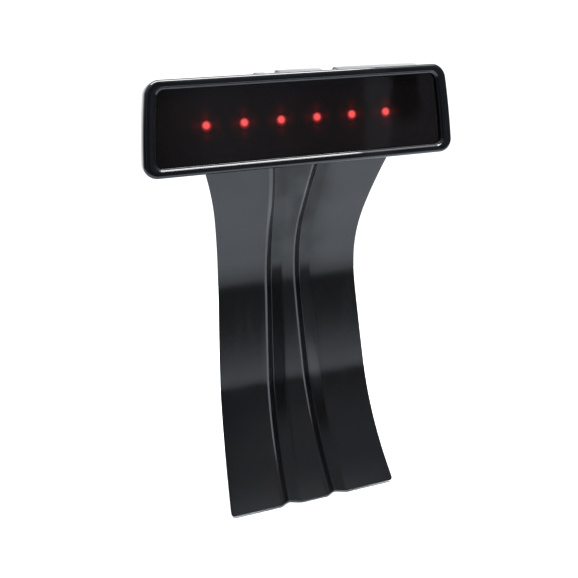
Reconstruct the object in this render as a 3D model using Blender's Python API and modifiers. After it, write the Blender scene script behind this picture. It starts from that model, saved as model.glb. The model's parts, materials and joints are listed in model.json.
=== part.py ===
# Third brake light on a curved mast, for a vehicle with its spare wheel on the tailgate.
# Run with: blender --background --python part.py
#
# Every dimension below is in millimetres and degrees; MM turns millimetres into Blender metres.
# Datum of the drawing: X to the viewer's right, Y away from the viewer (towards the vehicle),
# Z up. Y = 0 is the front of the lens rim and Z = 0 is the LED axis. An empty carries the
# assembly, and puts the origin in the middle of the mounting plate's rear face.

import bpy
import bmesh
import math
import numpy as np
from mathutils import Matrix, Vector

MM = 0.001
GAP = 0.3                      # clearance between touching pieces

# ---------------------------------------------------------------- lamp head
HEAD_HALF_WIDTH = 103.2        # at half height, on the rim's widest line
HEAD_HALF_HEIGHT = 28.55
HEAD_CORNER_R = 8.8
HEAD_TAPER = 0.094             # half width lost for each mm of height
HEAD_SIDE_BOW = 0.9            # outward bow of the two sides
HEAD_CENTRE_Z = 1.0            # middle of the rim above the LED axis
RIM_FILLET = 2.2
RIM_SKIRT_END = 8.5            # Y where the rim's skirt ends
RIM_SKIRT_DRAFT = 0.55
RIM_WALL = 2.1
STEP_HALF_WIDTH = 96.8         # top of the step down to the lens
STEP_HALF_HEIGHT = 24.1
STEP_CORNER_R = 5.2
WINDOW_HALF_WIDTH = 93.4       # foot of the step, the rim's opening
WINDOW_HALF_HEIGHT = 21.9
WINDOW_CORNER_R = 3.4
WINDOW_DEPTH = 2.5

LENS_FACE_Y = 2.9
LENS_FLANGE_Y = 4.4
LENS_BACK_Y = 6.4
LENS_FLANGE_INSET = 2.9
SEAL_THICK = 0.7

# ---------------------------------------------------------------- housing tub
TUB_FRONT_Y = 7.7
TUB_BACK_Y = 34.0
TUB_WALL = 2.2
TUB_FRONT_INSET = 2.9
TUB_BACK_HALF_WIDTH = 94.0
TUB_BACK_HALF_HEIGHT = 22.6
LAND_Y = (13.0, 21.0)          # raised lands on top of the tub
LANDS = ((-25.5, -17.5, 30.2), (-11.0, 20.0, 31.0), (29.0, 88.0, 30.9))    # X from, X to, top Z

# ---------------------------------------------------------------- LEDs and board
LED_COUNT = 6
LED_PITCH = 24.43
LED_FRONT_Y = 12.9
BOARD_Y = (14.9, 16.5)
BOARD_HALF = (88.0, 17.5)
BOARD_SCREW_AT = (80.5, 12.5)
OPTIC_R = 4.4
CUP_R = 6.6
CARRIER_Y = (9.2, 10.7)
CARRIER_HALF = (88.0, 18.0)

INLET_X = 72.0
VENT_X = -72.0
INLET_HALF = (10.0, 6.5)
HEAD_SCREW_AT = (38.0, 11.0)

# ---------------------------------------------------------------- mast
MAST_TOP_Z = -26.0
MAST_BOTTOM_Z = -257.0
MAST_CORNER_R = 2.2
SHELL_THICK = 2.5
# Side profile: where the front face starts, and its lean in degrees at each height.
MAST_START_Y = 12.7
MAST_LEAN = ((-26.0, 24.6), (-62.0, 27.7), (-112.0, -0.6), (-176.0, -3.6), (-236.0, -23.3), (-257.0, -29.0))
# Outline: half width at the top, and the edge's angle in degrees at each height.
MAST_START_HALF_WIDTH = 64.1
MAST_EDGE = ((-26.0, -21.9), (-95.0, -0.9), (-120.0, 3.7), (-190.0, 3.3), (-257.0, 7.2))
# The two V channels: distance from the middle at the top, and their angle at each height.
CHANNEL_START_X = 15.4
CHANNEL_EDGE = ((-26.0, -9.5), (-90.0, 0.3), (-130.0, 2.5), (-257.0, 2.9))
CHANNEL_HALF_WIDTH = (5.9, 7.1)    # top, bottom
CHANNEL_DEPTH = (3.4, 4.8)         # top, bottom

# ---------------------------------------------------------------- core frame, cover, mounting
CORE_BACK_Y = 58.0
CORE_TOP_Z = 18.0
CORE_SHELF_Z = -28.4
CORE_BOTTOM_Z = -247.0
CORE_WALL = 2.8
CORE_RIB = 2.4
CORE_UPRIGHT_X = 14.0          # the two upright ribs
CORE_EDGE_INSET = 17.0
CORE_HEAD_HALF = 46.0
CORE_RIBS_Z = (-75.0, -112.0, -158.0, -205.0)
COVER_THICK = 2.5
PLATE_THICK = 3.0
PLATE_HALF = (32.0, 33.0)
PLATE_Z = -205.0
STUD_AT = (23.0, 23.0)
STUD_R = 3.0
STUD_LENGTH = 16.0
MAST_SCREWS = ((34.8, -44.6), (23.0, -112.0), (36.4, -241.0))
BOSS_R = 3.6
BOSS_HEIGHT = 5.0
PAD_HALF = (9.0, 20.0)
PAD_AT = (21.0, -78.0)

PLATE_BACK_Y = CORE_BACK_Y + 0.3 + COVER_THICK + 0.3 + PLATE_THICK


# ================================================================ scene and helpers
for old in list(bpy.data.objects):
    bpy.data.objects.remove(old, do_unlink=True)

scene = bpy.context.scene
PARTS = bpy.data.collections.new("third_brake_light")
CUTTERS = bpy.data.collections.new("cutters")
scene.collection.children.link(PARTS)
scene.collection.children.link(CUTTERS)

datum = bpy.data.objects.new("assembly_datum", None)
datum.empty_display_size = 0.02
datum.location = (0.0, -PLATE_BACK_Y * MM, -PLATE_Z * MM)
PARTS.objects.link(datum)


def principled(name, colour, roughness, metallic=0.0):
    mat = bpy.data.materials.new(name)
    mat.use_nodes = True
    shader = mat.node_tree.nodes["Principled BSDF"]
    shader.inputs["Base Color"].default_value = (*colour, 1.0)
    shader.inputs["Roughness"].default_value = roughness
    shader.inputs["Metallic"].default_value = metallic
    mat.diffuse_color = (*colour, 1.0)
    return mat


GLOSS_BLACK = principled("gloss_black_plastic", (0.012, 0.013, 0.015), 0.06)
SATIN_BLACK = principled("satin_black_plastic", (0.016, 0.017, 0.018), 0.18)
MATTE_BLACK = principled("matte_black_nylon", (0.022, 0.022, 0.023), 0.55)
SMOKED = principled("smoked_acrylic", (0.02, 0.017, 0.017), 0.03)
CLEAR = principled("clear_acrylic", (0.85, 0.85, 0.85), 0.05)
LED_RED = principled("led_red", (0.9, 0.08, 0.08), 0.3)
BOARD_WHITE = principled("board_solder_mask", (0.75, 0.76, 0.74), 0.4)
CHIP = principled("chip_epoxy", (0.03, 0.03, 0.032), 0.5)
CAN = principled("capacitor_can", (0.75, 0.75, 0.76), 0.3, 1.0)
RUBBER = principled("black_rubber", (0.025, 0.025, 0.025), 0.8)
FOAM = principled("grey_foam", (0.16, 0.16, 0.165), 0.95)
STEEL = principled("black_coated_steel", (0.03, 0.03, 0.032), 0.35, 0.6)
ZINC = principled("zinc_plated_steel", (0.62, 0.62, 0.6), 0.28, 1.0)
TIN = principled("tinned_brass", (0.72, 0.68, 0.58), 0.25, 1.0)


def place(obj, material, location=(0, 0, 0), collection=PARTS):
    obj.data.materials.clear()
    obj.data.materials.append(material)
    collection.objects.link(obj)
    obj.parent = datum
    obj.location = Vector(location) * MM
    return obj


def smooth(mesh, angle=35.0):
    mesh.shade_smooth()
    mesh.set_sharp_from_angle(angle=math.radians(angle))


def object_from_bmesh(name, bm, material, collection=PARTS, smooth_angle=35.0, recalc=True):
    bmesh.ops.scale(bm, vec=(MM, MM, MM), verts=bm.verts)
    if recalc:
        bmesh.ops.recalc_face_normals(bm, faces=bm.faces)
    mesh = bpy.data.meshes.new(name)
    bm.to_mesh(mesh)
    bm.free()
    smooth(mesh, smooth_angle)
    return place(bpy.data.objects.new(name, mesh), material, collection=collection)


def loops_solid(bm, loops, closed=False):
    """Skin a run of equal loops; the ends are capped unless the run is closed on itself."""
    rings = [[bm.verts.new(p) for p in loop] for loop in loops]
    count = len(rings[0])
    pairs = list(zip(rings, rings[1:])) + ([(rings[-1], rings[0])] if closed else [])
    for a, b in pairs:
        for i in range(count):
            j = (i + 1) % count
            bm.faces.new((a[i], a[j], b[j], b[i]))
    if not closed:
        bm.faces.new(rings[0])
        bm.faces.new(list(reversed(rings[-1])))


def cylinder(bm, x, z, y0, y1, r, segments=16, front_r=None):
    """Closed cylinder or cone along Y; front_r is its radius at y0."""
    turn = Matrix.Translation((x, (y0 + y1) / 2, z)) @ Matrix.Rotation(math.radians(90), 4, 'X')
    bmesh.ops.create_cone(bm, cap_ends=True, segments=segments, radius1=r,
                          radius2=r if front_r is None else front_r, depth=y1 - y0, matrix=turn)


def box(bm, x, y, z):
    """Closed box between the pairs x, y and z."""
    centre = [(p[0] + p[1]) / 2 for p in (x, y, z)]
    size = [p[1] - p[0] for p in (x, y, z)]
    bmesh.ops.create_cube(bm, size=1.0, matrix=Matrix.Translation(centre) @ Matrix.Diagonal((*size, 1.0)))


def boolean(obj, operation, build, name):
    """Boolean modifier whose operand is made by build(bm)."""
    bm = bmesh.new()
    build(bm)
    cutter = object_from_bmesh(name, bm, MATTE_BLACK, collection=CUTTERS)
    cutter.hide_render = True
    cutter.display_type = 'WIRE'
    mod = obj.modifiers.new(name, 'BOOLEAN')
    mod.operation = operation
    mod.solver = 'EXACT'
    mod.object = cutter
    return mod


def turned(name, profile, segments, material, location, facing):
    """Turned piece: profile is (radius, height) from top to bottom, both ends on the axis."""
    bm = bmesh.new()
    verts = [bm.verts.new((r * MM, 0.0, h * MM)) for r, h in profile]
    for a, b in zip(verts, verts[1:]):
        bm.edges.new((a, b))
    mesh = bpy.data.meshes.new(name)
    bm.to_mesh(mesh)
    bm.free()
    obj = place(bpy.data.objects.new(name, mesh), material, location)
    screw = obj.modifiers.new("turn", 'SCREW')
    screw.axis = 'Z'
    screw.angle = math.tau
    screw.steps = segments
    screw.render_steps = segments
    screw.use_merge_vertices = True
    screw.merge_threshold = 0.00002
    screw.use_smooth_shade = True
    obj.rotation_euler = (math.radians(90 if facing == 'front' else -90), 0.0, 0.0)
    return obj


def copy_of(source, name, location):
    obj = source.copy()
    obj.name = name
    PARTS.objects.link(obj)
    obj.location = Vector(location) * MM
    return obj


def prism(name, outlines, y0, y1, material, collection=PARTS):
    """Flat outline with holes in X and Z, extruded from y0 to y1: a 2D curve made a mesh."""
    curve = bpy.data.curves.new(name + "_outline", 'CURVE')
    curve.dimensions = '2D'
    curve.fill_mode = 'BOTH'
    curve.extrude = (y1 - y0) / 2 * MM
    for outline in outlines:
        spline = curve.splines.new('POLY')
        spline.points.add(len(outline) - 1)
        for point, (x, z) in zip(spline.points, outline):
            point.co = (x * MM, z * MM, 0.0, 1.0)
        spline.use_cyclic_u = True
    guide = bpy.data.objects.new(name + "_outline", curve)
    scene.collection.objects.link(guide)
    guide.rotation_euler = (math.radians(90), 0.0, 0.0)
    guide.location = (0.0, (y0 + y1) / 2 * MM, 0.0)
    bpy.context.view_layer.update()
    mesh = bpy.data.meshes.new_from_object(guide.evaluated_get(bpy.context.evaluated_depsgraph_get()))
    mesh.transform(guide.matrix_world)
    bpy.data.objects.remove(guide, do_unlink=True)
    bm = bmesh.new()
    bm.from_mesh(mesh)
    bmesh.ops.remove_doubles(bm, verts=bm.verts, dist=0.00002)
    bmesh.ops.recalc_face_normals(bm, faces=bm.faces)
    bm.to_mesh(mesh)
    bm.free()
    smooth(mesh, 30.0)
    mesh.name = name
    return place(bpy.data.objects.new(name, mesh), material, collection=collection)


# ================================================================ outlines
def rounded_rect(half_w, half_h, radius, per_corner=5, per_side=3):
    """Rounded rectangle as (x, z), anticlockwise from the lower right corner."""
    points = []
    for k, (sx, sz) in enumerate(((1, -1), (1, 1), (-1, 1), (-1, -1))):
        start = math.radians(-90 + 90 * k)
        for i in range(per_corner + 1):
            a = start + math.radians(90) * i / per_corner
            points.append((sx * (half_w - radius) + radius * math.cos(a),
                           sz * (half_h - radius) + radius * math.sin(a)))
        if k in (0, 2):            # extra points on the two upright sides, which bow outwards
            z0 = sz * (half_h - radius)
            for i in range(1, per_side + 1):
                points.append((sx * half_w, z0 * (1 - 2 * i / (per_side + 1))))
    return points


def head_shape(points):
    """Taper and bow of the lamp head, put on an (x, z) outline about the head's centre."""
    shaped = []
    for x, z in points:
        share = abs(x) / HEAD_HALF_WIDTH
        grow = -HEAD_TAPER * z * share - HEAD_SIDE_BOW * (z / HEAD_HALF_HEIGHT) ** 2 * share
        shaped.append((x + grow * math.copysign(1.0, x), z + HEAD_CENTRE_Z))
    return shaped


def head_loop(inset, y, half=None, radius=None):
    """Loop of the head's outline at depth y, pulled in by inset or with its own half sizes."""
    hw, hh = half if half else (HEAD_HALF_WIDTH - inset, HEAD_HALF_HEIGHT - inset)
    r = radius if radius is not None else max(HEAD_CORNER_R - inset, 1.2)
    return [(x, y, z) for x, z in head_shape(rounded_rect(hw, hh, r))]


def integrate(start, stations, z):
    """start plus the run of tan(angle) down to z, the angle going straight between stations."""
    zs = np.array([s[0] for s in stations])
    angles = np.array([s[1] for s in stations])
    table = np.arange(zs[0], zs[-1] - 0.25, -0.5)
    slope = np.tan(np.radians(np.interp(-table, -zs, angles)))
    run = start + np.concatenate([[0.0], np.cumsum((slope[1:] + slope[:-1]) / 2 * 0.5)])
    return float(np.interp(-z, -table, run))


def mast_y(z):
    return integrate(MAST_START_Y, MAST_LEAN, z)


def mast_half_width(z):
    return integrate(MAST_START_HALF_WIDTH, MAST_EDGE, z)


def channel_x(z):
    return integrate(CHANNEL_START_X, CHANNEL_EDGE, z)


def down(z, pair):
    t = (MAST_TOP_Z - z) / (MAST_TOP_Z - MAST_BOTTOM_Z)
    return pair[0] + (pair[1] - pair[0]) * min(max(t, 0.0), 1.0)


def channel_sink(t):
    """Share of the channel's depth at t, from -1 to 1 across it: a V with a small round at its foot and lips."""
    a = abs(t)
    if a >= 1.0:
        return 0.0
    if a > 0.8:
        return (1.0 - a) ** 2 * 3.1
    return min(1.0 - a - 0.076, 0.90)


def shell_front(x, z):
    """Y of the mast's front face."""
    y = mast_y(z)
    t = (abs(x) - channel_x(z)) / down(z, CHANNEL_HALF_WIDTH)
    return y + down(z, CHANNEL_DEPTH) * channel_sink(t)


# ================================================================ lamp head pieces
# Rim: one closed section carried round the head's outline.
bm = bmesh.new()
step = dict(half=(STEP_HALF_WIDTH, STEP_HALF_HEIGHT), radius=STEP_CORNER_R)
flat_edge = dict(half=(STEP_HALF_WIDTH + 0.7, STEP_HALF_HEIGHT + 0.5), radius=STEP_CORNER_R + 0.6)
window = dict(half=(WINDOW_HALF_WIDTH, WINDOW_HALF_HEIGHT), radius=WINDOW_CORNER_R)
f = RIM_FILLET
rim_loops = [
    head_loop(0.0, f),
    head_loop(f * (1 - math.cos(math.radians(30))), f * (1 - math.sin(math.radians(30)))),
    head_loop(f * (1 - math.cos(math.radians(60))), f * (1 - math.sin(math.radians(60)))),
    head_loop(f, 0.0),
    head_loop(0, 0.0, **flat_edge),
    head_loop(0, 0.35, **step),
    head_loop(0, WINDOW_DEPTH, **window),
    head_loop(0, LENS_FLANGE_Y - GAP, **window),
    head_loop(RIM_WALL + 0.2, LENS_FLANGE_Y - GAP),
    head_loop(RIM_WALL + 0.2, RIM_SKIRT_END),
    head_loop(RIM_SKIRT_DRAFT, RIM_SKIRT_END),
]
loops_solid(bm, rim_loops, closed=True)
object_from_bmesh("lens_bezel", bm, GLOSS_BLACK)

# Lens: a flange behind the rim, and a raised pad that fills the rim's opening.
bm = bmesh.new()
pad = (WINDOW_HALF_WIDTH - GAP, WINDOW_HALF_HEIGHT - GAP)
loops_solid(bm, [
    head_loop(0, LENS_FACE_Y, half=(pad[0] - 1.4, pad[1] - 1.2), radius=2.2),
    head_loop(0, LENS_FACE_Y + 0.5, half=pad, radius=WINDOW_CORNER_R - GAP),
    head_loop(0, LENS_FLANGE_Y, half=pad, radius=WINDOW_CORNER_R - GAP),
    head_loop(LENS_FLANGE_INSET, LENS_FLANGE_Y),
    head_loop(LENS_FLANGE_INSET, LENS_BACK_Y),
])
object_from_bmesh("smoked_lens", bm, SMOKED)

# Seal: a flat ring between the lens flange and the tub's rim.
bm = bmesh.new()
seal_front = LENS_BACK_Y + GAP
seal_back = seal_front + SEAL_THICK
loops_solid(bm, [
    head_loop(LENS_FLANGE_INSET + 0.1, seal_front), head_loop(LENS_FLANGE_INSET + 0.1, seal_back),
    head_loop(LENS_FLANGE_INSET + 2.0, seal_back), head_loop(LENS_FLANGE_INSET + 2.0, seal_front),
], closed=True)
object_from_bmesh("lens_seal", bm, RUBBER)

# Housing tub: open at the front, with bosses for the board and for the head screws.
bm = bmesh.new()
tub_back = dict(half=(TUB_BACK_HALF_WIDTH, TUB_BACK_HALF_HEIGHT), radius=8.0)
tub_back_in = dict(half=(TUB_BACK_HALF_WIDTH - TUB_WALL, TUB_BACK_HALF_HEIGHT - TUB_WALL), radius=5.8)
loops_solid(bm, [
    head_loop(0, TUB_BACK_Y - TUB_WALL, **tub_back_in),
    head_loop(TUB_FRONT_INSET + TUB_WALL, TUB_FRONT_Y + 0.3),
    head_loop(TUB_FRONT_INSET, TUB_FRONT_Y + 0.3),
    head_loop(0, TUB_BACK_Y - 2.5, **tub_back),
    head_loop(0, TUB_BACK_Y, half=(TUB_BACK_HALF_WIDTH - 2.2, TUB_BACK_HALF_HEIGHT - 2.2), radius=5.8),
])
housing = object_from_bmesh("lamp_housing", bm, GLOSS_BLACK)


def housing_bosses(bm):
    for sx in (-1, 1):
        for sz in (-1, 1):
            cylinder(bm, sx * BOARD_SCREW_AT[0], sz * BOARD_SCREW_AT[1] + HEAD_CENTRE_Z,
                     BOARD_Y[1] + GAP, TUB_BACK_Y - 1.0, 3.4)
            cylinder(bm, sx * HEAD_SCREW_AT[0], sz * HEAD_SCREW_AT[1] + HEAD_CENTRE_Z - 4.0,
                     21.0, TUB_BACK_Y - 1.0, 4.2)


def housing_lands(bm):
    for x0, x1, top in LANDS:
        box(bm, (x0, x1), LAND_Y, (20.0 + HEAD_CENTRE_Z, top))


def land_clearance(bm):
    """Keeps the lands' feet out of the tub's inside."""
    loops_solid(bm, [
        head_loop(0, TUB_BACK_Y - TUB_WALL, **tub_back_in),
        head_loop(TUB_FRONT_INSET + TUB_WALL, TUB_FRONT_Y + 0.3),
    ])


def housing_holes(bm):
    for sx in (-1, 1):
        for sz in (-1, 1):
            cylinder(bm, sx * BOARD_SCREW_AT[0], sz * BOARD_SCREW_AT[1] + HEAD_CENTRE_Z,
                     BOARD_Y[1] - 1.0, 26.0, 1.6, 12)
            cylinder(bm, sx * HEAD_SCREW_AT[0], sz * HEAD_SCREW_AT[1] + HEAD_CENTRE_Z - 4.0,
                     23.5, TUB_BACK_Y + 1.0, 1.9, 12)
    box(bm, (INLET_X - INLET_HALF[0] + 1.7, INLET_X + INLET_HALF[0] - 1.7), (TUB_BACK_Y - 5, TUB_BACK_Y + 2),
        (HEAD_CENTRE_Z - INLET_HALF[1] + 1.7, HEAD_CENTRE_Z + INLET_HALF[1] - 1.7))
    cylinder(bm, VENT_X, HEAD_CENTRE_Z, TUB_BACK_Y - 5, TUB_BACK_Y + 2, 3.3, 20)


bm = bmesh.new()
housing_lands(bm)
lands = object_from_bmesh("lands_operand", bm, GLOSS_BLACK, collection=CUTTERS)
boolean(lands, 'DIFFERENCE', land_clearance, "lands_clearance")
lands.hide_render = True
lands.display_type = 'WIRE'
mod = housing.modifiers.new("lands", 'BOOLEAN')
mod.operation = 'UNION'
mod.solver = 'EXACT'
mod.object = lands
boolean(housing, 'UNION', housing_bosses, "housing_bosses")
boolean(housing, 'DIFFERENCE', housing_holes, "housing_holes")

# Snap clips between the rim's skirt and the tub, one on each side.


def tub_half_width(y):
    """Half width of the tub's outer wall at half height."""
    front = HEAD_HALF_WIDTH - TUB_FRONT_INSET
    run = (y - TUB_FRONT_Y - 0.3) / (TUB_BACK_Y - 2.5 - TUB_FRONT_Y - 0.3)
    return front + (TUB_BACK_HALF_WIDTH - front) * run


for side, sx in (("left", -1), ("right", 1)):
    bm = bmesh.new()
    clip_y = (RIM_SKIRT_END + GAP, RIM_SKIRT_END + 3.0, RIM_SKIRT_END + 6.5)
    section = [(tub_half_width(clip_y[0]) + 0.4, clip_y[0]), (HEAD_HALF_WIDTH - 0.9, clip_y[0]),
               (HEAD_HALF_WIDTH - 0.7, clip_y[1]), (tub_half_width(clip_y[2]) + 1.7, clip_y[2]),
               (tub_half_width(clip_y[2]) + 0.4, clip_y[2])]
    loops_solid(bm, [[(sx * (x - HEAD_TAPER * (z - HEAD_CENTRE_Z)), y, z) for x, y in section] for z in (3.5, 11.5)])
    object_from_bmesh("side_clip_" + side, bm, MATTE_BLACK)

# Optic carrier: a plate with a round cup behind each opening.
led_x = [LED_PITCH * (i - (LED_COUNT - 1) / 2) for i in range(LED_COUNT)]
plate_outline = [(x, z + HEAD_CENTRE_Z) for x, z in rounded_rect(*CARRIER_HALF, 4.0, 4, 1)]
carrier = prism("optic_carrier", [plate_outline], CARRIER_Y[0], CARRIER_Y[1], MATTE_BLACK)


def carrier_cups(bm):
    for x in led_x:
        cylinder(bm, x, 0.0, CARRIER_Y[1] - 0.5, BOARD_Y[0] - GAP, CUP_R, 14)
    for sx in (-1, 1):             # feet that stand on the board
        for sz in (-1, 1):
            cylinder(bm, sx * 70.0, sz * 12.0 + HEAD_CENTRE_Z, CARRIER_Y[1] - 0.5, BOARD_Y[0] - GAP, 2.2, 10)


def carrier_bores(bm):
    for x in led_x:
        cylinder(bm, x, 0.0, CARRIER_Y[0] - 1.0, BOARD_Y[0] + 1.0, OPTIC_R + GAP, 14, front_r=OPTIC_R + 1.2)
    for sx in (-1, 1):             # driver access to the board screws
        for sz in (-1, 1):
            cylinder(bm, sx * BOARD_SCREW_AT[0], sz * BOARD_SCREW_AT[1] + HEAD_CENTRE_Z,
                     CARRIER_Y[0] - 1.0, CARRIER_Y[1] + 1.0, 3.4, 10)


boolean(carrier, 'UNION', carrier_cups, "carrier_cups")
boolean(carrier, 'DIFFERENCE', carrier_bores, "carrier_bores")

# Optics and LED packages: one of each per opening.
optic_depth = 2.4
optic = turned("led_optic_1", [(0.0, 1.5), (1.6, 1.32), (3.0, 0.8), (OPTIC_R - 0.4, 0.0), (OPTIC_R - 0.4, -optic_depth + 0.9),
                               (2.6, -optic_depth), (0.0, -optic_depth)], 12, CLEAR,
               (led_x[0], LED_FRONT_Y - GAP - optic_depth, 0.0), 'front')
bm = bmesh.new()
loops_solid(bm, [[(x, y, z) for x, z in rounded_rect(hw, hw, r, 1, 0)] for hw, r, y in
                 ((1.1, 0.9, 0.0), (1.5, 0.9, 0.6), (1.75, 0.3, 0.7), (1.75, 0.3, BOARD_Y[0] - GAP - LED_FRONT_Y))])
led = object_from_bmesh("led_1", bm, LED_RED)
led.location = Vector((led_x[0], LED_FRONT_Y, 0.0)) * MM
for i in range(1, LED_COUNT):
    copy_of(optic, "led_optic_%d" % (i + 1), (led_x[i], LED_FRONT_Y - GAP - optic_depth, 0.0))
    copy_of(led, "led_%d" % (i + 1), (led_x[i], LED_FRONT_Y, 0.0))

# Board, with its screw holes and the header holes of the terminal pins.
board_outline = [(x, z + HEAD_CENTRE_Z) for x, z in rounded_rect(*BOARD_HALF, 3.0, 4, 1)]
board = prism("led_board", [board_outline], BOARD_Y[0], BOARD_Y[1], BOARD_WHITE)
PIN_X = [INLET_X + d for d in (-4.5, 4.5)]


def board_holes(bm):
    for sx in (-1, 1):
        for sz in (-1, 1):
            cylinder(bm, sx * BOARD_SCREW_AT[0], sz * BOARD_SCREW_AT[1] + HEAD_CENTRE_Z,
                     BOARD_Y[0] - 1, BOARD_Y[1] + 1, 1.65, 12)


boolean(board, 'DIFFERENCE', board_holes, "board_holes")


def chip(name, x, z, size, material):
    """Moulded component on the rear of the board, its edges drafted."""
    bm = bmesh.new()
    y0 = BOARD_Y[1] + GAP
    loops_solid(bm, [[(x + a, y, z + b + HEAD_CENTRE_Z) for a, b in rounded_rect(size[0] - d, size[1] - d, 0.3, 1, 0)]
                     for y, d in ((y0, 0.0), (y0 + size[2] * 0.55, 0.0), (y0 + size[2], 0.25))])
    return object_from_bmesh(name, bm, material)


chip("driver_chip", 24.0, -4.0, (3.3, 2.6, 1.6), CHIP)
chip("shunt_resistor_left", 10.0, -5.0, (3.2, 1.6, 0.7), CHIP)
chip("shunt_resistor_right", 10.0, 1.0, (3.2, 1.6, 0.7), CHIP)
chip("protection_diode", 52.0, 3.0, (2.6, 1.6, 1.4), CHIP)
turned("input_capacitor", [(0.0, 7.5), (3.7, 7.5), (4.0, 7.2), (4.0, 6.2), (3.7, 5.9), (4.0, 5.6), (4.0, 0.4), (3.6, 0.0), (0.0, 0.0)],
       16, CAN, (55.0, BOARD_Y[1] + GAP, -9.0), 'rear')

# Pan-head screws that hold the board; heads to the front.
head_r, head_h, shank = 2.8, 1.7, 7.5
board_screw = turned("board_screw_1", [(0.0, head_h), (1.8, head_h), (head_r, 0.5), (head_r, 0.0),
                                       (1.25, 0.0), (1.25, -shank), (0.0, -shank - 0.9)], 10, ZINC,
                     (-BOARD_SCREW_AT[0], BOARD_Y[0] - GAP, HEAD_CENTRE_Z - BOARD_SCREW_AT[1]), 'front')
for n, (sx, sz) in enumerate(((1, -1), (-1, 1), (1, 1))):
    copy_of(board_screw, "board_screw_%d" % (n + 2),
            (sx * BOARD_SCREW_AT[0], BOARD_Y[0] - GAP, sz * BOARD_SCREW_AT[1] + HEAD_CENTRE_Z))

# Inlet: a gasket, a flanged shroud open to the rear, and two pins.
gasket_back = TUB_BACK_Y + GAP + 0.8
inner = [(x + INLET_X, z + HEAD_CENTRE_Z) for x, z in rounded_rect(INLET_HALF[0] - 1.2, INLET_HALF[1] - 1.2, 1.5, 3, 0)]
outer = [(x + INLET_X, z + HEAD_CENTRE_Z) for x, z in rounded_rect(INLET_HALF[0] + 3.4, INLET_HALF[1] + 3.0, 3.0, 3, 0)]
prism("inlet_gasket", [outer, list(reversed(inner))], TUB_BACK_Y + GAP, gasket_back, RUBBER)

bm = bmesh.new()


def inlet_loop(grow, y, r):
    return [(x + INLET_X, y, z + HEAD_CENTRE_Z) for x, z in
            rounded_rect(INLET_HALF[0] + grow, INLET_HALF[1] + grow, r, 3, 0)]


flange_y = gasket_back + GAP
loops_solid(bm, [
    inlet_loop(-2.2, TUB_BACK_Y - 3.0, 1.0), inlet_loop(-2.2, flange_y, 1.0),
    inlet_loop(3.0, flange_y, 2.6), inlet_loop(3.0, flange_y + 1.8, 2.6),
    inlet_loop(0.0, flange_y + 1.8, 1.6), inlet_loop(0.0, flange_y + 12.5, 1.6),
    inlet_loop(-1.3, flange_y + 12.5, 1.0), inlet_loop(-1.3, flange_y + 3.0, 1.0),
])
inlet = object_from_bmesh("inlet_connector", bm, MATTE_BLACK)


def pin_holes(bm):
    for x in PIN_X:
        box(bm, (x - 0.7, x + 0.7), (TUB_BACK_Y - 5.0, flange_y + 5.0), (HEAD_CENTRE_Z - 0.7, HEAD_CENTRE_Z + 0.7))


def latch_ramp(bm):
    box(bm, (INLET_X - 2.5, INLET_X + 2.5), (flange_y + 6.5, flange_y + 9.5),
        (HEAD_CENTRE_Z + INLET_HALF[1] - 0.5, HEAD_CENTRE_Z + INLET_HALF[1] + 1.4))


boolean(inlet, 'DIFFERENCE', pin_holes, "pin_holes")
boolean(inlet, 'UNION', latch_ramp, "latch_ramp")
for n, x in enumerate(PIN_X):
    bm = bmesh.new()
    loops_solid(bm, [[(x + a, y, b + HEAD_CENTRE_Z) for a, b in rounded_rect(h, h, 0.1, 1, 0)]
                     for y, h in ((BOARD_Y[1] + GAP, 0.4), (flange_y + 10.0, 0.4), (flange_y + 10.8, 0.2))])
    object_from_bmesh("terminal_pin_%d" % (n + 1), bm, TIN)

# Breather cap: a mushroom with its stem in the tub's hole.
turned("breather_vent", [(0.0, 4.2), (3.6, 4.2), (5.4, 3.7), (6.0, 2.8), (6.0, 0.0), (2.9, 0.0), (2.9, -4.4), (2.3, -5.0), (0.0, -5.0)],
       20, RUBBER, (VENT_X, TUB_BACK_Y + GAP, HEAD_CENTRE_Z), 'rear')

# ================================================================ mast
# Front shell: an open grid bent to the side profile and outline, then given its thickness.
z_rows = [MAST_BOTTOM_Z, MAST_BOTTOM_Z + 0.35, MAST_BOTTOM_Z + 1.0, MAST_BOTTOM_Z + MAST_CORNER_R]
rows = 22
z_rows += [MAST_BOTTOM_Z + 8.0 + (MAST_TOP_Z - MAST_BOTTOM_Z - 8.0) * i / rows for i in range(rows + 1)]


def shell_columns(z):
    """X of the grid's columns at z, each channel having its own."""
    rise = z - MAST_BOTTOM_Z
    half = mast_half_width(z)
    if rise < MAST_CORNER_R:
        half -= MAST_CORNER_R - math.sqrt(MAST_CORNER_R ** 2 - (MAST_CORNER_R - rise) ** 2)
    c, w = channel_x(z), down(z, CHANNEL_HALF_WIDTH)
    right = [0.0] + [c + w * t for t in (-1.0, -0.8, -0.1, 0.1, 0.8, 1.0)]
    right += [c + w + (half - c - w) * t for t in (0.5, 1.0)]
    return [-x for x in reversed(right[1:])] + right


columns = len(shell_columns(-100.0))
bm = bmesh.new()
grid = bmesh.ops.create_grid(bm, x_segments=columns - 1, y_segments=len(z_rows) - 1, size=1.0)["verts"]
for v in grid:
    i = int(round((v.co.x + 1.0) / 2.0 * (columns - 1)))
    j = int(round((v.co.y + 1.0) / 2.0 * (len(z_rows) - 1)))
    z = z_rows[j]
    x = shell_columns(z)[i]
    v.co = (x, shell_front(x, z), z)
shell = object_from_bmesh("mast_front_shell", bm, SATIN_BLACK, recalc=False)
if sum(p.normal.y for p in shell.data.polygons) > 0:
    shell.data.flip_normals()
thick = shell.modifiers.new("thickness", 'SOLIDIFY')
thick.thickness = SHELL_THICK * MM
thick.offset = -1.0
thick.use_even_offset = True
screw_spots = [(sx * x, z) for x, z in MAST_SCREWS for sx in (-1, 1)]


def boss_end(x, z):
    return mast_y(z) + 2.8 + BOSS_HEIGHT


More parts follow.
